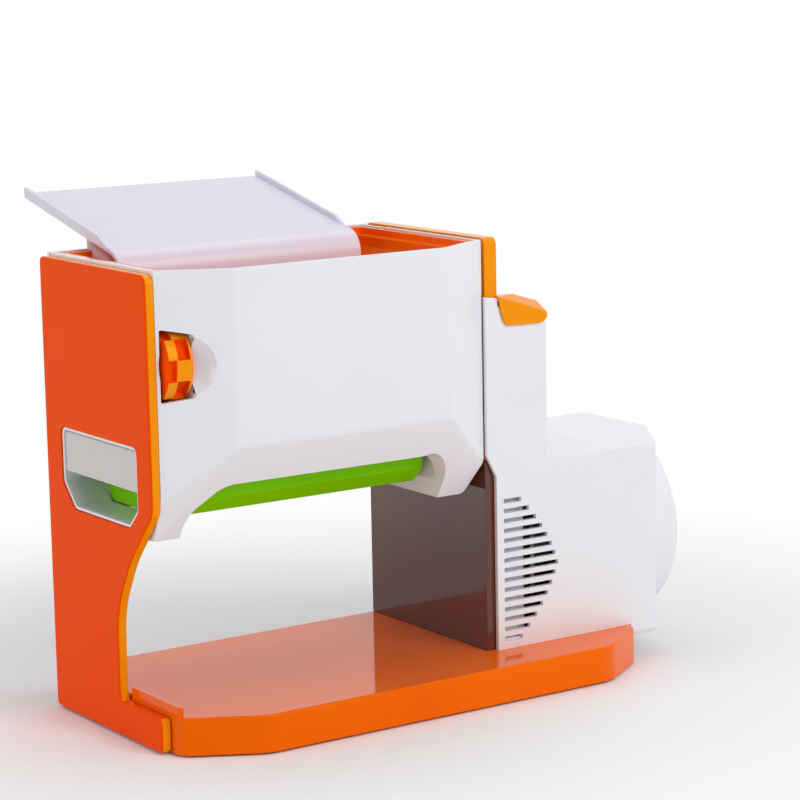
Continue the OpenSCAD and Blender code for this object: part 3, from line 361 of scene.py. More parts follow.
finishes = {
    # a clear warm orange with a soft sheen
    "orange_plastic": mouldedPlastic("glossy injection-moulded orange ABS", "#FF7400", "#FC6C00",
                                     rough=(0.14, 0.2), specular=0.2, tint="#FFA040"),
    # a cool clean white with soft, blurred highlights
    "white_plastic": mouldedPlastic("glossy injection-moulded white ABS", "#F1F3F7", "#EDEFF4", coat=0.15),
    # painted reflection: brown rather than black, standing in for the warm light it mirrors, and smooth
    # enough to mirror what is before it
    "black_panel": mouldedPlastic("high-gloss black ABS with a painted brown reflection", "#62301C", "#522816",
                                  rough=(0.04, 0.07), coat=0.3, specular=0.4),
    # the same orange, polished so that its flat top mirrors what stands on it
    "mirror_orange": mouldedPlastic("high-gloss injection-moulded orange ABS", "#FF7000", "#FC6800",
                                    rough=(0.05, 0.09), specular=0.3, tint="#FFA040"),
    # painted shade: the white beside it, made a shade warmer and darker for the shade of the window's recess
    "shaded_white": mouldedPlastic("glossy injection-moulded white ABS in painted shade", "#D6D0CE", "#D0CAC8"),
    # a saturated green with hardly a highlight
    "green_plastic": mouldedPlastic("moulded green polypropylene", "#86E000", "#7ED800",
                                    rough=(0.3, 0.4), specular=0.06),
    # a satin white that leans to lilac
    "tray_plastic": mouldedPlastic("moulded white polypropylene", "#E3E1EF", "#E0DEEC", rough=(0.25, 0.28)),
    # bright metal with fine lines along the rollers
    "roller_steel": bareMetal("ground stainless steel", "#C9CBCE"),
    # dull grey metal without direction
    "frame_steel": bareMetal("rolled steel sheet", "#B4B6BA", rough=(0.35, 0.5), stretch=(1, 1, 1)),
    # warm off-white and nearly matt
    "gear_nylon": mouldedPlastic("cream moulded nylon", "#EFE8D2", "#E8E0C6", rough=(0.38, 0.5)),
    # brown-gold and dull, as porous metal is
    "bush_bronze": bareMetal("sintered bronze", "#B58A4E", rough=(0.4, 0.55), stretch=(1, 1, 1)),
    # mid grey with a broad faint sheen
    "gearbox_alloy": bareMetal("die-cast zinc alloy", "#8F9298", rough=(0.45, 0.6), stretch=(1, 1, 1)),
    # near black and matt
    "black_plastic": mouldedPlastic("matt black nylon", "#1C1C1E", "#141416", rough=(0.45, 0.6)),
    # dark grey that shows no highlight
    "foot_rubber": softRubber("soft dark rubber", "#3A3A3C", "#2E2E30"),
    # painted shade: a redder copy of the orange, for sides and hollows out of the light, that stays even
    # under the light
    "shaded_orange": mouldedPlastic("satin orange ABS in painted shade", "#FF5400", "#FC5000",
                                  rough=(0.3, 0.4), specular=0.04, tint="#FF7010"),
    # painted light: a yellower copy of the orange with a sheen, on the plates' lit sides, the key and the
    # dial
    "lit_orange": mouldedPlastic("glossy orange ABS in painted light", "#FF9C10", "#FC9608",
                                   rough=(0.16, 0.22), specular=0.4, tint="#FFB050"),
}


def finishPiece(obj, body, slot, *standsFor, finish=None):
    obj.data.materials.clear()
    obj.data.materials.append(finishes[finish or slot])
    if standsFor:
        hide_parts(*standsFor)
    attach(obj, body)
    return obj


def secondFinish(obj, finish, test):  # on the faces picked by test(centre in mm, normal)
    obj.data.materials.append(finishes[finish])
    for face in obj.data.polygons:
        if test(inMm(face.center), face.normal):
            face.material_index = 1
    return obj


for entry in frame["record"]["subparts"]:
    solid = frame["nodes"][entry["node"]]
    for place in range(len(solid.data.materials)):
        solid.data.materials[place] = finishes[entry["material_slot"]]
    if not solid.data.materials:
        solid.data.materials.append(finishes[entry["material_slot"]])
print("solids dressed")

bodyOf = {n: b for b, names in frame["record"]["behaviour"]["bodies"].items() for n in names}


def softenedCopy(node, slot, width, finish=None):  # a CAD solid with its mesh joined up and its edges broken
    twin = copyOf(frame["nodes"][node], node.replace("_", " ").title().replace(" ", "") + "Soft")
    for key in list(twin.keys()):
        if key.startswith("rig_"):
            del twin[key]
    twin.parent = None
    soften(twin, width, 2)
    return finishPiece(twin, bodyOf[node], slot, node, finish=finish)


# left end plate
plate = {
    "thick": 5.0, "edge": 3.2,
    "outline": [((0, 0, 240), 3), ((0, -112, 240), 5), ((0, -112, 122), 4), ((0, -86.5, 93), 7),
                ((0, -71.5, 66), 11), ((0, -71, 25), 3), ((0, -72.5, 19), 1), ((0, -114, 19), 3),
                ((0, -114, 1.2), 3), ((0, 0, 1.2), 3)],
    "window": [((-1, -17, 153.5), 4), ((-1, -98, 153.5), 4), ((-1, -98, 121), 2), ((-1, -88, 111.2), 2),
               ((-1, -29.3, 111.2), 2), ((-1, -17, 124.4), 2)],
    "flangeDeep": 2.5, "flangeWall": 2.4, "innerEdge": 0.5,
    "flange": [((4.5, 0, 105.8), 0), ((4.5, -90.5, 105.8), 0), ((4.5, -79.5, 91), 6), ((4.5, -65, 64), 11),
               ((4.5, -64.5, 1.2), 0), ((4.5, 0, 1.2), 3)],
}


def insideWindow(p):
    return -99 < p.y < -16 and 110 < p.z < 155


def onFrontOrTopEdge(c, n):  # the front and top edges, painted in the lighter orange as the lit side of the plate
    front = n.y < -0.3 and c.y < -60 and not insideWindow(c)
    top = n.z > 0.9 and c.z > 200
    return n.x > -0.35 and (front or top)


def makeLeftPlate():
    obj = drawOutline("LeftPlate", plate["outline"], x=plate["thick"], segments=8)
    combine(obj, drawOutline("cutWindow", plate["window"], x=plate["thick"] + 2, segments=6))
    rim = traceOutline("legFlange", [p for p, _ in plate["flange"]])
    roundCorners(rim, [c for c in plate["flange"] if c[1]], 6)
    pickFaces(rim, lambda c, n: True)
    bpy.ops.mesh.inset(thickness=plate["flangeWall"] / 1000, depth=0)
    bpy.ops.mesh.delete(type="FACE")
    closeMesh()
    thicken(rim, x=plate["flangeDeep"] + 0.5)
    combine(obj, rim, "UNION")
    cleanMesh(obj)
    edges = pickEdges(obj, lambda a, b, sides: abs(a.x) < 0.01 and abs(b.x) < 0.01 and len(sides) == 2
                      and abs(sides[0].x - sides[1].x) > 0.5 and not insideWindow((a + b) / 2))
    roundEdges(plate["edge"], 5)
    soften(obj, plate["innerEdge"], 2, 40)
    print("left plate:", edges, "outer edges rounded")
    # painted shade and light: the plate's side is coloured in the shaded orange, its front and top edges in
    # the lit orange
    finishPiece(obj, "body", "orange_plastic", "left_end_plate", finish="shaded_orange")
    return secondFinish(obj, "lit_orange", onFrontOrTopEdge)


makeLeftPlate()


# front cover
cover = {
    "left": 5.0, "right": 200.0, "sideY": -112.0, "faceY": -130.0, "top": 241.8, "back": -24.0,
    "creaseLeft": 39.5, "creaseRight": 168.5, "creaseZ": 153.7, "leftStep": 128.0, "rightStep": 124.0,
    "lowZ": 106.0, "lowY": -102.0, "lowLeft": 6.0, "lowRight": 193.0, "wall": 2.4, "crease": 1.8, "edge": 0.9,
    "leftRail": ((5.4, -114, 233.5), (8.2, -2.5, 241.7)),
    "rightRail": ((197.8, -30, 233.5), (199.8, -2.5, 241.7)),
    "railBack": 0.6, "railEdge": 0.5, "middle": (100, -60, 180),
    "arch": [((19.8, -140, 60), 0), ((20.6, -140, 118), 6.5), ((38, -140, 132.8), 6), ((158, -140, 132.8), 3),
             ((165, -140, 134.2), 3.4), ((176.6, -140, 126), 9), ((176.6, -140, 60), 0)],
    "soffitBack": -100.1, "cheek": 176.6, "scoop": (10.8, -133.6, 194.5), "scoopRadius": 22.0,
    "dialWindow": [((6.7, -140, 176.5), 1), ((22.2, -140, 178.9), 2), ((22.2, -140, 210.1), 2),
                   ((6.7, -140, 213), 1)],
    "wheel": (7.6, 22.2, -99, 194.5, 21.6), "dialWall": ((22.2, -119.2, 172), (23.7, -107, 217)),
    "gearHoles": ((-39, 133), (-65, 133)), "gearHole": 15.5,
}


def coverBlock(name, d):  # the cover's outer planes, drawn in by d
    c = cover
    obj = addBox(name, (c["left"] + d, c["faceY"] + d, c["lowZ"] + d),
                 (c["right"] - d, c["back"] + d * 2, c["top"] + (10 if d else 0)))
    mid = c["middle"]
    left, right = (c["left"], c["sideY"]), (c["right"], c["sideY"])
    leftFold, rightFold = ((c[side], c["faceY"], c["creaseZ"]) for side in ("creaseLeft", "creaseRight"))
    leftFoot, rightFoot = ((c[side], c["lowY"], c["lowZ"]) for side in ("lowLeft", "lowRight"))
    leftKnee, rightKnee = (*left, c["leftStep"]), (*right, c["rightStep"])
    sliceThrough(obj, (*left, 0), (*left, 200), leftFold, mid, d)
    sliceThrough(obj, (*right, 0), (*right, 200), rightFold, mid, d)
    sliceThrough(obj, leftFold, rightFold, leftFoot, mid, d)
    sliceThrough(obj, leftKnee, leftFold, leftFoot, mid, d)
    sliceThrough(obj, rightKnee, rightFold, rightFoot, mid, d)
    sliceThrough(obj, leftKnee, leftFoot, (leftFoot[0], 0, leftFoot[2]), mid, d)
    sliceThrough(obj, rightKnee, rightFoot, (rightFoot[0], 0, rightFoot[2]), mid, d)
    return obj


def makeFrontCover():
    c = cover
    hull = coverBlock("coverHull", 0)
    creases = pickEdges(hull, lambda a, b, sides: len(sides) == 2 and max(s.y for s in sides) < -0.05
                        and max(abs(s.z) for s in sides) < 0.99)
    roundEdges(c["crease"], 5)
    obj = copyOf(hull, "FrontCover")
    combine(obj, coverBlock("coverHollow", c["wall"]))
    combine(obj, grow(drawOutline("archCut", c["arch"], y=139, segments=8), c["wall"] / 2))
    soffit = drawOutline("coverSoffit", c["arch"], y=139, segments=8)
    useModifier(soffit, "SOLIDIFY", thickness=c["wall"] / 1000, offset=1)
    combine(soffit, addBox("soffitReach", (0, -150, 90), (203, c["soffitBack"], 180)), "INTERSECT")
    cheekWall = addBox("cheekWall", (c["cheek"], -131, 90), (c["cheek"] + c["wall"], c["back"], 151))
    x, y, z = c["scoop"]
    bowl = addBall("scoopBowl", x, y, z, c["scoopRadius"] + c["wall"])
    combine(bowl, addBox("bowlReach", (13, -140, 160), (65, -100, 230)), "INTERSECT")
    for lining in (soffit, cheekWall, bowl):
        combine(lining, copyOf(hull, "coverTrim"), "INTERSECT")
        combine(obj, lining, "UNION")
    bpy.data.objects.remove(hull)
    combine(obj, addBox("cassetteRoom", (0, c["soffitBack"] - 0.1, 108.6), (23, 10, 300)))
    combine(obj, addBall("scoopCut", x, y, z, c["scoopRadius"]))
    combine(obj, drawOutline("dialCut", c["dialWindow"], y=40, segments=5))
    combine(obj, addRod("wheelCut", *c["wheel"], sides=96))
    for y, z in c["gearHoles"]:
        combine(obj, addRod("gearCut", c["cheek"] - 1, c["cheek"] + 7, y, z, c["gearHole"]))
    sliceOff(obj, (c["left"] + 0.2, 0, 0), (-1, 0, 0))
    soften(obj, c["edge"], 3, 34, 25, broad=200)
    rails = [addBox("topRail", *c["leftRail"]), addBox("topRail", *c["rightRail"])]
    left = (c["left"], c["sideY"])  # the left rail ends at the left facet
    fold = (c["creaseLeft"], c["faceY"], 100)
    sliceThrough(rails[0], (*left, 0), (*left, 200), fold, c["middle"], c["railBack"])
    for rail in rails:
        soften(rail, c["railEdge"])
    dialWall = addBox("dialWall", *c["dialWall"])
    combine(dialWall, addBall("scoopCut", *c["scoop"], c["scoopRadius"] + 0.1))
    joinTo(obj, [*rails, shade(dialWall, 30)])
    print("front cover:", creases, "creases rounded")
    return finishPiece(obj, "body", "white_plastic", "front_cover")


makeFrontCover()


# base
base = {
    "bottom": 1.2, "top": 20.3, "edge": 2.2, "wall": 2.6, "floor": 2.6,
    "outline": [((8.3, 0, 1.2), 4), ((8.3, -72.5, 1.2), 0), ((5.7, -72.5, 1.2), 0),
                ((5.7, -122.4, 1.2), 5), ((44, -144.4, 1.2), 5), ((260, -144.4, 1.2), 6),
                ((296.7, -120, 1.2), 7), ((296.7, 0, 1.2), 4)],
    "feet": [(x, y) for x in (24.3, 152.5, 278.7) for y in (-14, -114.4)],
    "footBoss": 8.0, "footHole": 2.6, "screwBoss": 5.0, "screwHole": 2.1,
    "screws": [(218, -7.5), (218, -107.2), (256.7, -7.5), (256.7, -107.2)],
    "ribsX": (56.3, 104.3, 152.3, 200.3, 248.3), "ribsY": (-100, -50), "ribLow": 8.0, "ribThick": 1.8,
    "lip": ((5.7, -121.5, 19), (8.9, -73, 25.5)), "lipRound": 3.0, "lipEdge": 0.8, "smallEdge": 0.5,
}


def makeBase():
    b = base
    obj = drawOutline("BasePlate", b["outline"], z=b["top"] - b["bottom"], segments=8)
    pickEdges(obj, lambda p, q, sides: p.z > b["top"] - 0.1 and q.z > b["top"] - 0.1)
    roundEdges(b["edge"], 5)
    pickFaces(obj, lambda c, n: n.z < -0.9)  # the open underside
    bpy.ops.mesh.inset(thickness=b["wall"] / 1000, depth=0)
    deep = b["top"] - b["floor"] - b["bottom"]
    bpy.ops.mesh.extrude_region_move(TRANSFORM_OT_translate={"value": (0, 0, deep / 1000)})
    closeMesh()
    under = b["top"] - b["floor"] + 0.5
    for x in b["ribsX"]:
        combine(obj, addBox("rib", (x, -142.5, b["ribLow"]), (x + b["ribThick"], -2, under)), "UNION")
    for y in b["ribsY"]:
        combine(obj, addBox("rib", (10, y, b["ribLow"]), (295, y + b["ribThick"], under)), "UNION")
    for x, y in b["feet"]:
        combine(obj, addPost("footBoss", x, y, 3, under, b["footBoss"]), "UNION")
        combine(obj, addPost("footHole", x, y, 0, 10, b["footHole"]))
    for x, y in b["screws"]:
        combine(obj, addPost("screwBoss", x, y, 7, under, b["screwBoss"]), "UNION")
        combine(obj, addPost("screwHole", x, y, 0, 22, b["screwHole"]))
    lip = addBox("plateLip", *b["lip"])
    pickEdges(lip, lambda p, q, sides: p.z > 25 and q.z > 25 and p.y < -122 and q.y < -122)
    roundEdges(b["lipRound"], 6)
    soften(lip, b["lipEdge"])
    combine(obj, lip, "UNION")
    soften(obj, b["smallEdge"], 2, 40)
    print("base shaped")
    return finishPiece(obj, "body", "orange_plastic", "base_plate", finish="mirror_orange")


makeBase()


# drive housing
housing = {
    "left": 210.0, "right": 315.0, "front": -114.6, "bevel": 8.6, "top": 129.0, "rearRound": 56.0,
    "foot": 20.3, "wall": 2.4, "flare": 7.5,
    "towerRight": 240.0, "towerLeftTop": 211.3, "towerRightTop": 206.3,
    "lip": [(200.5, 225), (200.5, 127), (206.4, 115), (206.4, 20.3), (211, 20.3), (211, 225)], "lipDeep": 2.2,
    "overhang": (297.1, 13.0), "overhangRound": 4.0, "edge": 1.1, "roomTop": 202, "frontRoomTop": 186,
    "overhangRoom": ((299.5, -112.2, 15.4), (312.6, -2.4, 25)), "motor": (-58.4, 67.9), "motorHole": 50,
    "vents": 15, "pitch": 5.39, "ventMiddle": 63.5, "ventHeight": 2.5, "ventLeft": 210.8, "ventLength": 35.9,
    "ventTaper": (1.5, 0.28), "ventReach": (-116, -110),
    "baffle": ((212.6, -109.6, 24), (227, -108.2, 104)), "baffleTie": 1.4,
    "boss": 5.5, "bossTop": 34.3, "screwHole": 2.02,
    "keyStep": [(208.4, 240), (208.4, 206.4), (241, 195.1), (241, 240)], "keyBack": -106.5,
    "stem": (225.0, -108.6, 2.8),
    "inlet": ((275, -10, 30), (299, 5, 46)),
}


def housingSection(x, d=0.0):  # outline across the housing, drawn in by d
    h = housing
    r = h["rearRound"]
    low = h["foot"] - (1 if d else 0)
    along = h["bevel"] + d * 0.41  # a 45 degree bevel moves by tan 22.5 of the wall
    return [((x, -d, low), 0), ((x, -d, h["top"] - d), r - d), ((x, h["front"] + along, h["top"] - d), 0),
            ((x, h["front"] + d, h["top"] - along), 0), ((x, h["front"] + d, low), 0)]


def makeHousing():
    h = housing
    obj = drawOutline("DriveHousing", housingSection(h["left"]), x=h["right"] - h["left"], segments=24)
    tower = addBox("tower", (h["left"], h["front"], h["foot"]), (h["towerRight"], 0, 220))
    lip = drawOutline("plateLip", [((x, h["front"], z), 0) for x, z in h["lip"]], y=h["lipDeep"])
    combine(tower, lip, "UNION")
    leftTop, rightTop = h["towerLeftTop"], h["towerRightTop"]
    sliceThrough(tower, (203, 0, leftTop), (203, -50, leftTop), (240, 0, rightTop), (220, -50, 100))
    combine(obj, tower, "UNION")
    cleanMesh(obj)
    flares = pickEdges(obj, lambda a, b, sides: len(sides) == 2 and abs(sides[0].dot(sides[1])) < 0.5
                       and max(abs(a.x - h["towerRight"]), abs(b.x - h["towerRight"])) < 0.01
                       and max(a.z, b.z) < h["top"] + 0.1 and min(a.z, b.z) > 70 and (a - b).length > 0.01)
    roundEdges(h["flare"], 6)
    start, low = h["overhang"]
    overhang = drawOutline("overhang", [((start, 0, 22), 0), ((start, h["front"], 22), 0),
                                        ((start, h["front"], low), h["overhangRound"]),
                                        ((start, 0, low), h["overhangRound"])], x=h["right"] - start)
    combine(obj, overhang, "UNION")
    # hollow inside
    room = h["right"] - h["left"] + 1 - h["wall"]
    combine(obj, drawOutline("motorRoom", housingSection(h["left"] - 1, h["wall"]), x=room, segments=24))
    right = h["towerRight"] - h["wall"]
    combine(obj, addBox("towerRoom", (202, -96, 19), (right, -h["wall"], h["roomTop"])))
    combine(obj, addBox("towerRoomFront", (202, -112.2, 19), (right, -90, h["frontRoomTop"])))
    combine(obj, addBox("overhangRoom", *h["overhangRoom"]))
    combine(obj, addRod("motorHole", 305, 325, *h["motor"], h["motorHole"], sides=96))
    step = drawOutline("keyRoom", [((x, -140, z), 0) for x, z in h["keyStep"]], y=140 + h["keyBack"])
    combine(obj, step)
    x, y, r = h["stem"]
    combine(obj, addPost("stemHole", x, y, 170, 220, r))
    combine(obj, addBox("inletHole", *h["inlet"]))
    for x, y in base["screws"]:
        boss = addPost("screwBoss", x, y, h["foot"], h["bossTop"], h["boss"])
        combine(boss, addPost("screwHole", x, y, 19, 32, h["screwHole"]))
        combine(obj, boss, "UNION")
    slots = []
    left, half = h["ventLeft"], h["ventHeight"] / 2
    front, back = h["ventReach"]
    straight, bend = h["ventTaper"]  # the right ends lie on a curve
    for n in range(-(h["vents"] // 2), h["vents"] // 2 + 1):
        long = h["ventLength"] - straight * abs(n) - bend * n * n
        z = h["ventMiddle"] + n * h["pitch"]
        slots.append(addBox("vent", (left, front, z - half), (left + long, back, z + half)))
    combine(obj, joinTo(slots[0], slots[1:]))
    low, high = h["baffle"]
    baffle = addBox("ventBaffle", low, high)
    for z in (low[2], high[2] - h["baffleTie"]):
        tie = addBox("baffleTie", (low[0], -112.4, z), (high[0], high[1], z + h["baffleTie"]))
        combine(baffle, tie, "UNION")
    combine(obj, baffle, "UNION")
    soften(obj, h["edge"], 3, 34)
    print("drive housing:", flares, "edges flared")
    return finishPiece(obj, "body", "white_plastic", "drive_housing")


makeHousing()


# motor end cap
endCap = {"axis": (-58.4, 67.9),
          "seat": [(315, 49.8), (315, 55.1)],  # x, and how far out from the axis
          "rim": (329.0, 50.1, 5.0),  # the same for the middle of the rim's round, then its radius
          "inner": [(334, 0), (331, 0), (331, 49), (328, 52), (318, 52), (318, 46.5), (309, 46.5),
                    (309, 49.8)]}


def makeEndCap():
    y, z = endCap["axis"]
    rimX, rimOut, rimRadius = endCap["rim"]
    turns = [math.radians(a) for a in range(0, 91, 15)]
    rim = [(rimX + rimRadius * math.sin(a), rimOut + rimRadius * math.cos(a)) for a in turns]
    path = endCap["seat"] + rim + endCap["inner"]
    # the profile's two ends aren't joined: the cap is open in a ring from x 309 to 315, inside the bore
    obj = traceOutline("MotorEndCap", [(x, y, z + r) for x, r in path], close=False)
    openMesh(obj, "EDGE")
    bpy.ops.mesh.select_all(action="SELECT")
    bpy.ops.mesh.spin(steps=96, angle=math.tau, center=spot(0, y, z), axis=(1, 0, 0))
    bpy.ops.mesh.select_all(action="SELECT")
    bpy.ops.mesh.remove_doubles(threshold=1e-6)
    closeMesh()
    openMesh(obj, "FACE")
    bpy.ops.mesh.select_all(action="SELECT")
    bpy.ops.mesh.normals_make_consistent(inside=False)
    closeMesh()
    shade(obj, 30)
    print("end cap turned")
    return finishPiece(obj, "body", "white_plastic", "motor_end_cap")


makeEndCap()


# power key
key = {"front": -116.4, "back": -108.0, "skirtDeep": 1.4, "skirtEdge": 0.45, "blockEdge": 0.6, "stem": 2.5,
       "skirt": [((207.8, -116.4, 211.4), 0), ((210.5, -116.4, 200.5), 3), ((212.8, -116.4, 195.6), 2.2),
                 ((236, -116.4, 195), 2), ((239, -116.4, 196.4), 1.2), ((240, -116.4, 199), 1),
                 ((239.2, -116.4, 200.8), 0.8), ((228.7, -116.4, 204.4), 3)],
       "block": [(208.8, 211.4), (208.8, 208.5), (240, 197.8), (240, 207.2), (229, 210.8)]}


def makePowerKey():
    front = key["front"]
    skirt = drawOutline("PowerKey", key["skirt"], y=key["skirtDeep"], segments=6)
    soften(skirt, key["skirtEdge"], 3, 50)
    block = drawOutline("keyBlock", [((x, front, z), 0) for x, z in key["block"]], y=key["back"] - front + 1)
    # the top falls to the front edge
    leftTop, middle, rightTop = (208.8, front, 211.4), (229, front, 204.4), (240, front, 200.8)
    backTop, inside = (240, front + 12, 207.2), (220, -112, 195)
    sliceThrough(block, leftTop, middle, backTop, inside)
    sliceThrough(block, middle, rightTop, backTop, inside)
    soften(block, key["blockEdge"], 3, 25)
    combine(skirt, block, "UNION")
    combine(skirt, addPost("keyStem", 225, -108.6, 186.4, 203, key["stem"]), "UNION")
    combine(skirt, addBox("plateClear", (202, -112.2, 180), (210.3, 0, 230)))
    shade(skirt, 40)
    print("power key shaped")
    # painted light: the key is coloured in the lit orange
    return finishPiece(skirt, "key", "orange_plastic", "power_key", finish="lit_orange")


makePowerKey()


# thickness dial
dial = {"x0": 8.2, "x1": 21.5, "y": -99.0, "z": 194.5, "radius": 21.0, "bore": 4.02, "round": 0.45,
        "grips": 6, "gripDepth": 3.4, "gripWidth": 7.5, "gripFlare": 2.4, "hub": 5, "rimSkin": 0.7,
        "rows": ((13.4, 20.2, 155), (7.0, 12.6, 185))}  # each row's ends and its first angle


def makeDial():
    d = dial
    obj = addRod("ThicknessDial", d["x0"], d["x1"], d["y"], d["z"], d["radius"], sides=120)
    half, flare, depth = d["gripWidth"] / 2, d["gripFlare"], d["gripDepth"]
    wide = half + flare * 1.6
    section = [(-half, -depth), (half, -depth), (wide, 2), (-wide, 2)]  # (along the rim, out from it)
    grips = []
    for x0, x1, first in d["rows"]:
        for n in range(d["grips"]):
            a = math.radians(first + 360 / d["grips"] * n)
            points = []
            for t, r in section:
                out = d["radius"] + r
                y = d["y"] + out * math.cos(a) - t * math.sin(a)
                points.append((x0, y, d["z"] + out * math.sin(a) + t * math.cos(a)))
            grips.append(drawOutline("grip", [(p, 0) for p in points], x=x1 - x0))
    combine(obj, joinTo(grips[0], grips[1:]))
    cleanMesh(obj)
    useModifier(obj, "BEVEL", width=d["round"] / 1000, segments=2, limit_method="ANGLE",
                angle_limit=math.radians(20), use_clamp_overlap=True)
    combine(obj, addRod("dialBore", d["x0"] - 1, d["x1"] + 1, d["y"], d["z"], d["bore"]))
    shade(obj, 30)
    print("dial shaped")
    # painted light and shade: the dial is coloured in the lit orange, and the faces in its grips' hollows in
    # the shaded orange
    finishPiece(obj, "dial", "orange_plastic", "thickness_dial", finish="lit_orange")
    return secondFinish(obj, "shaded_orange", lambda c, n: d["hub"] < math.hypot(c.y - d["y"], c.z - d["z"])
                        < d["radius"] - d["rimSkin"])


makeDial()


# feed tray
tray = {"left": 23.5, "wide": 147.0, "back": (62.0, 267.0), "slope": 13.3, "thick": 3.0, "edge": 1.0,
        "lipY": -33.5, "lipRadius": 13.0, "drop": 3.0, "rimHigh": 2.9, "rimThick": 2.2, "rimEdge": 0.6,
        "rimFront": (-20.0, -30.0),  # the side rims fall to the board between these
        "ribs": (26.5, 164.5), "ribThick": 3.0,
        "ribFoot": [(-27, 235, 2), (-14.6, 235, 0), (-14.6, 237.8, 0), (-8.4, 237.8, 0), (-8.4, 241.2, 0),
                    (-3, 241.2, 0)]}  # rests on the hopper's ledge and rim


def makeTray():
    t = tray
    s = math.radians(t["slope"])

    def topAt(y):
        return t["back"][1] - (t["back"][0] - y) * math.tan(s)

    lipZ = topAt(t["lipY"])
    path = [t["back"], (t["lipY"], lipZ)]
    for n in range(1, 10):
        a = math.radians(90 + t["slope"] + (90 - t["slope"]) * n / 9)
        across, up = math.cos(a) + math.sin(s), math.sin(a) - math.cos(s)
        path.append((t["lipY"] + t["lipRadius"] * across, lipZ + t["lipRadius"] * up))
    path.append((path[-1][0], path[-1][1] - t["drop"]))
    obj = traceOutline("FeedTray", [(t["left"], y, z) for y, z in path], close=False)
    openMesh(obj, "EDGE")
    bpy.ops.mesh.select_all(action="SELECT")
    bpy.ops.mesh.extrude_region_move(TRANSFORM_OT_translate={"value": (t["wide"] / 1000, 0, 0)})
    closeMesh()
    pickFaces(obj, lambda c, n: True)
    bpy.ops.mesh.normals_make_consistent(inside=False)
    closeMesh()
    top = max(obj.data.polygons, key=lambda p: p.area)
    useModifier(obj, "SOLIDIFY", thickness=t["thick"] / 1000, offset=-1 if top.normal.z > 0 else 1)
    soften(obj, t["edge"], 4, 50)
    sunk = t["thick"] / math.cos(s) - 0.3  # the ribs reach 0.3 into the board
    for x in t["ribs"]:
        board = [((x, y, topAt(y) - sunk), 0) for y in (-3, -27)]
        foot = [((x, y, z), setback) for y, z, setback in t["ribFoot"]]
        combine(obj, drawOutline("trayRib", board + foot, x=t["ribThick"]), "UNION")
    rise, rear = t["rimHigh"], t["back"][0]
    falls, ends = t["rimFront"]
    for x in (t["left"], t["left"] + t["wide"] - t["rimThick"]):
        path = [(rear, 0.0), (falls, 0.0), (ends, -rise), (ends, -rise - 1), (rear, -rise - 1)]
        edge = drawOutline("trayRim", [((x, y, topAt(y) + rise + dz), 0) for y, dz in path], x=t["rimThick"])
        soften(edge, t["rimEdge"])
        combine(obj, edge, "UNION")
    shade(obj, 40)
    print("tray shaped")
    return finishPiece(obj, "tray", "tray_plastic", "feed_tray")


makeTray()


# hopper
hopper = {"top": 241.0, "rim": 3.0, "wall": 2.2, "edge": 0.7, "step": 3.4, "neck": 9.0,
          "mouth": (97.5, -52.5, 205.0), "mouthSize": (142.0, 33.0),
          "land": [(8.5, -2.7), (8.5, -110.7), (40.5, -127.0), (167.5, -127.0), (197.2, -110.0),
                   (197.2, -2.7)],
          "recess": [(13.0, -8.0), (13.0, -108.5), (41.5, -123.4), (166.5, -123.4), (193.4, -108.0),
                     (193.4, -8.0)],
          "opening": [(19.0, -14.0), (19.0, -106.0), (43.0, -119.0), (165.0, -119.0), (186.5, -106.0),
                      (186.5, -14.0)]}


def funnelSolid(name, d, lift):  # from the opening down to the mouth over the rollers, grown by d
    h = hopper
    xs, ys = zip(*h["opening"])
    midX, midY = (min(xs) + max(xs)) / 2, (min(ys) + max(ys)) / 2
    wide, deep = max(xs) - min(xs) + 2 * d, max(ys) - min(ys) + 2 * d
    corners = [((x + math.copysign(d, x - midX), y + math.copysign(d, y - midY), h["top"] + lift), 1.5)
               for x, y in h["opening"]]
    obj = drawOutline(name, corners, z=-h["neck"] - lift, segments=4)
    pickFaces(obj, lambda c, n: n.z < -0.9)
    mouthX, mouthY, mouthZ = h["mouth"]
    drop = mouthZ - (h["top"] - h["neck"]) - (1 if d == 0 else 0)
    shift = ((mouthX - midX) / 1000, (mouthY - midY) / 1000, drop / 1000)
    bpy.ops.mesh.extrude_region_move(TRANSFORM_OT_translate={"value": shift})
    mouthWide, mouthDeep = h["mouthSize"]
    bpy.ops.transform.resize(value=((mouthWide + 2 * d) / wide, (mouthDeep + 2 * d) / deep, 1))
    closeMesh()
    return obj


def makeHopper():
    h = hopper
    deep = h["rim"] + h["step"]
    obj = drawOutline("Hopper", [((x, y, h["top"] - deep), 1.5) for x, y in h["land"]], z=deep, segments=3)
    recess = [((x, y, h["top"] - h["step"]), 2) for x, y in h["recess"]]
    combine(obj, drawOutline("hopperRecess", recess, z=h["step"] + 5, segments=4))
    outer = funnelSolid("funnelOut", h["wall"], -1)
    combine(outer, addBox("funnelReach", (0, -126.9, 200), (300, -2.6, h["top"] - deep + 1)), "INTERSECT")
    combine(obj, outer, "UNION")
    combine(obj, funnelSolid("funnelIn", 0, 1))
    soften(obj, h["edge"], 3, 34)
    print("hopper shaped")
    return finishPiece(obj, "body", "orange_plastic", "hopper")


makeHopper()


# the smaller pieces keep their solids' shapes, with their edges broken
# painted light: the right end plate is coloured in the lit orange
softenedCopy("right_end_plate", "orange_plastic", 1.2, finish="lit_orange")
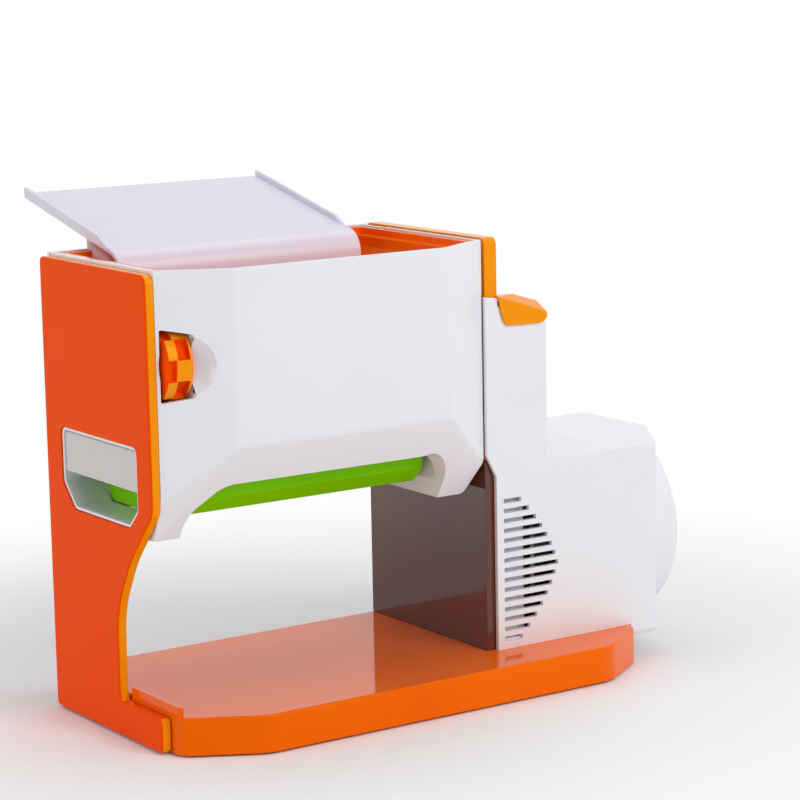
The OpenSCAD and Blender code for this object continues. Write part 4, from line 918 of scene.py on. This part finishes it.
# painted shade: the pull handle is coloured in the darker white, for the shade of the window's recess
softenedCopy("pull_handle", "white_plastic", 1.2, finish="shaded_white")
for node, slotName, width in (
    ("side_panel", "black_panel", 0.5), ("rear_cover", "white_plastic", 0.8),
    # painted reflection: the side panel's black carries a brown tint for the warm light it mirrors
    ("window_liner", "white_plastic", 0.5), ("cutter_cassette", "green_plastic", 0.7),
    ("power_inlet", "black_plastic", 0.5), ("power_switch", "black_plastic", 0.6),
    ("bearing_blocks", "bush_bronze", 0.3), ("left_side_frame", "frame_steel", 0.3),
    ("right_side_frame", "frame_steel", 0.3), ("cassette_rails", "white_plastic", 0.3),
):
    softenedCopy(node, slotName, width)
print("small mouldings softened")


# floor, light and camera
def cameraOrGlossy(tree, path):
    rays = [(0, path, "Is Camera Ray"), (1, path, "Is Glossy Ray")]
    return addNode(tree, "ShaderNodeMath", rays, operation="MAXIMUM")


stage = {"size": 60.0, "fadeFrom": 0.14, "fadeTo": 0.5}  # metres: the table's side, and where it fades out


def makeStage():
    bpy.ops.mesh.primitive_plane_add(size=stage["size"], location=(0, 0, 0))
    floor = bpy.context.active_object
    floor.name = "floor"
    mat, tree, body, coords = newMaterial("pale matt table")
    colourVariation(tree, coords, body, "#FBFBFB", "#F8F8F9", 500)
    body.inputs["Roughness"].default_value = 0.85
    body.inputs["Specular IOR Level"].default_value = 0.2
    # far from the object the table fades into the white room, for the camera and for reflections
    path = addNode(tree, "ShaderNodeLightPath")
    seen = cameraOrGlossy(tree, path)
    reach = addNode(tree, "ShaderNodeVectorMath", [(0, coords, "Object")], operation="LENGTH")
    far = addNode(tree, "ShaderNodeMapRange", [("Value", reach, "Value")], interpolation_type="SMOOTHSTEP")
    far.inputs["From Min"].default_value = stage["fadeFrom"]
    far.inputs["From Max"].default_value = stage["fadeTo"]
    both = addNode(tree, "ShaderNodeMath", [(0, seen, 0), (1, far, "Result")], operation="MULTIPLY")
    glow = addNode(tree, "ShaderNodeEmission", Color=sRgb("#FFFFFF"), Strength=1.0)
    mix = addNode(tree, "ShaderNodeMixShader", [("Fac", both, 0), (1, body, "BSDF"), (2, glow, 0)])
    out = next(n for n in tree.nodes if n.type == "OUTPUT_MATERIAL")
    tree.links.new(mix.outputs[0], out.inputs["Surface"])
    floor.data.materials.append(mat)


def addLamp(name, place, aim, size, power):
    bpy.ops.object.light_add(type="AREA", location=place)
    lamp = bpy.context.active_object
    lamp.name = name
    lamp.data.shape = "RECTANGLE"
    lamp.data.size, lamp.data.size_y = size
    lamp.data.energy = power
    lamp.rotation_mode = "QUATERNION"
    lamp.rotation_quaternion = (Vector(aim) - Vector(place)).to_track_quat("-Z", "Y")
    return lamp


def makeWorld(level):
    world = bpy.data.worlds.new("soft white room")
    bpy.context.scene.world = world
    world.use_nodes = True
    tree = world.node_tree
    tree.nodes.clear()
    path = addNode(tree, "ShaderNodeLightPath")
    rays = [(0, cameraOrGlossy(tree, path), 0), (1, path, "Is Transmission Ray")]
    seen = addNode(tree, "ShaderNodeMath", rays, operation="MAXIMUM")
    dim = addNode(tree, "ShaderNodeBackground", Color=sRgb("#FDFDFF"), Strength=level)
    bright = addNode(tree, "ShaderNodeBackground", Color=sRgb("#FFFFFF"), Strength=1.0)
    mix = addNode(tree, "ShaderNodeMixShader", [("Fac", seen, 0), (1, dim, 0), (2, bright, 0)])
    addNode(tree, "ShaderNodeOutputWorld", [("Surface", mix, 0)])


view = {"turn": (33.9, 9.7, -1.12),  # degrees to the right, down and sideways
        "from": (-618.7, -1252.0, 397.6),
        "focal": 2699.0, "across": 800.0, "sensor": 36.0}  # focal length and width in pixels, sensor in mm


def makeCamera():
    yaw, pitch, roll = (math.radians(a) for a in view["turn"])
    look = Vector((math.sin(yaw) * math.cos(pitch), math.cos(yaw) * math.cos(pitch), -math.sin(pitch)))
    level = Vector((math.cos(yaw), -math.sin(yaw), 0))
    rise = level.cross(look)
    right = level * math.cos(roll) + rise * math.sin(roll)
    up = rise * math.cos(roll) - level * math.sin(roll)
    bpy.ops.object.camera_add(location=spot(*view["from"]))
    camera = bpy.context.active_object
    camera.rotation_mode = "QUATERNION"
    camera.rotation_quaternion = Matrix((right, up, -look)).transposed().to_quaternion()
    camera.data.lens = view["focal"] / view["across"] * view["sensor"]
    camera.data.sensor_width = view["sensor"]
    camera.data.clip_start, camera.data.clip_end = 0.05, 20
    bpy.context.scene.camera = camera


lights = {
    "room": 0.37,
    "softboxes": [  # name, place, aim, size in metres, watts
        ("softboxFront", (480, -1400, 1000), (160, -60, 60), (1.0, 0.8), 10.5),
        ("softboxLeft", (-1500, 300, 420), (0, -60, 110), (1.0, 1.0), 6),
        ("softboxTop", (250, 150, 1500), (170, -60, 100), (1.4, 1.2), 6.5),
    ],
}

makeStage()
makeWorld(lights["room"])
for name, place, aim, size, power in lights["softboxes"]:
    addLamp(name, spot(*place), spot(*aim), size, power)
makeCamera()
print("floor, lamps and camera set")
bpy.context.scene.view_settings.view_transform = "Standard"
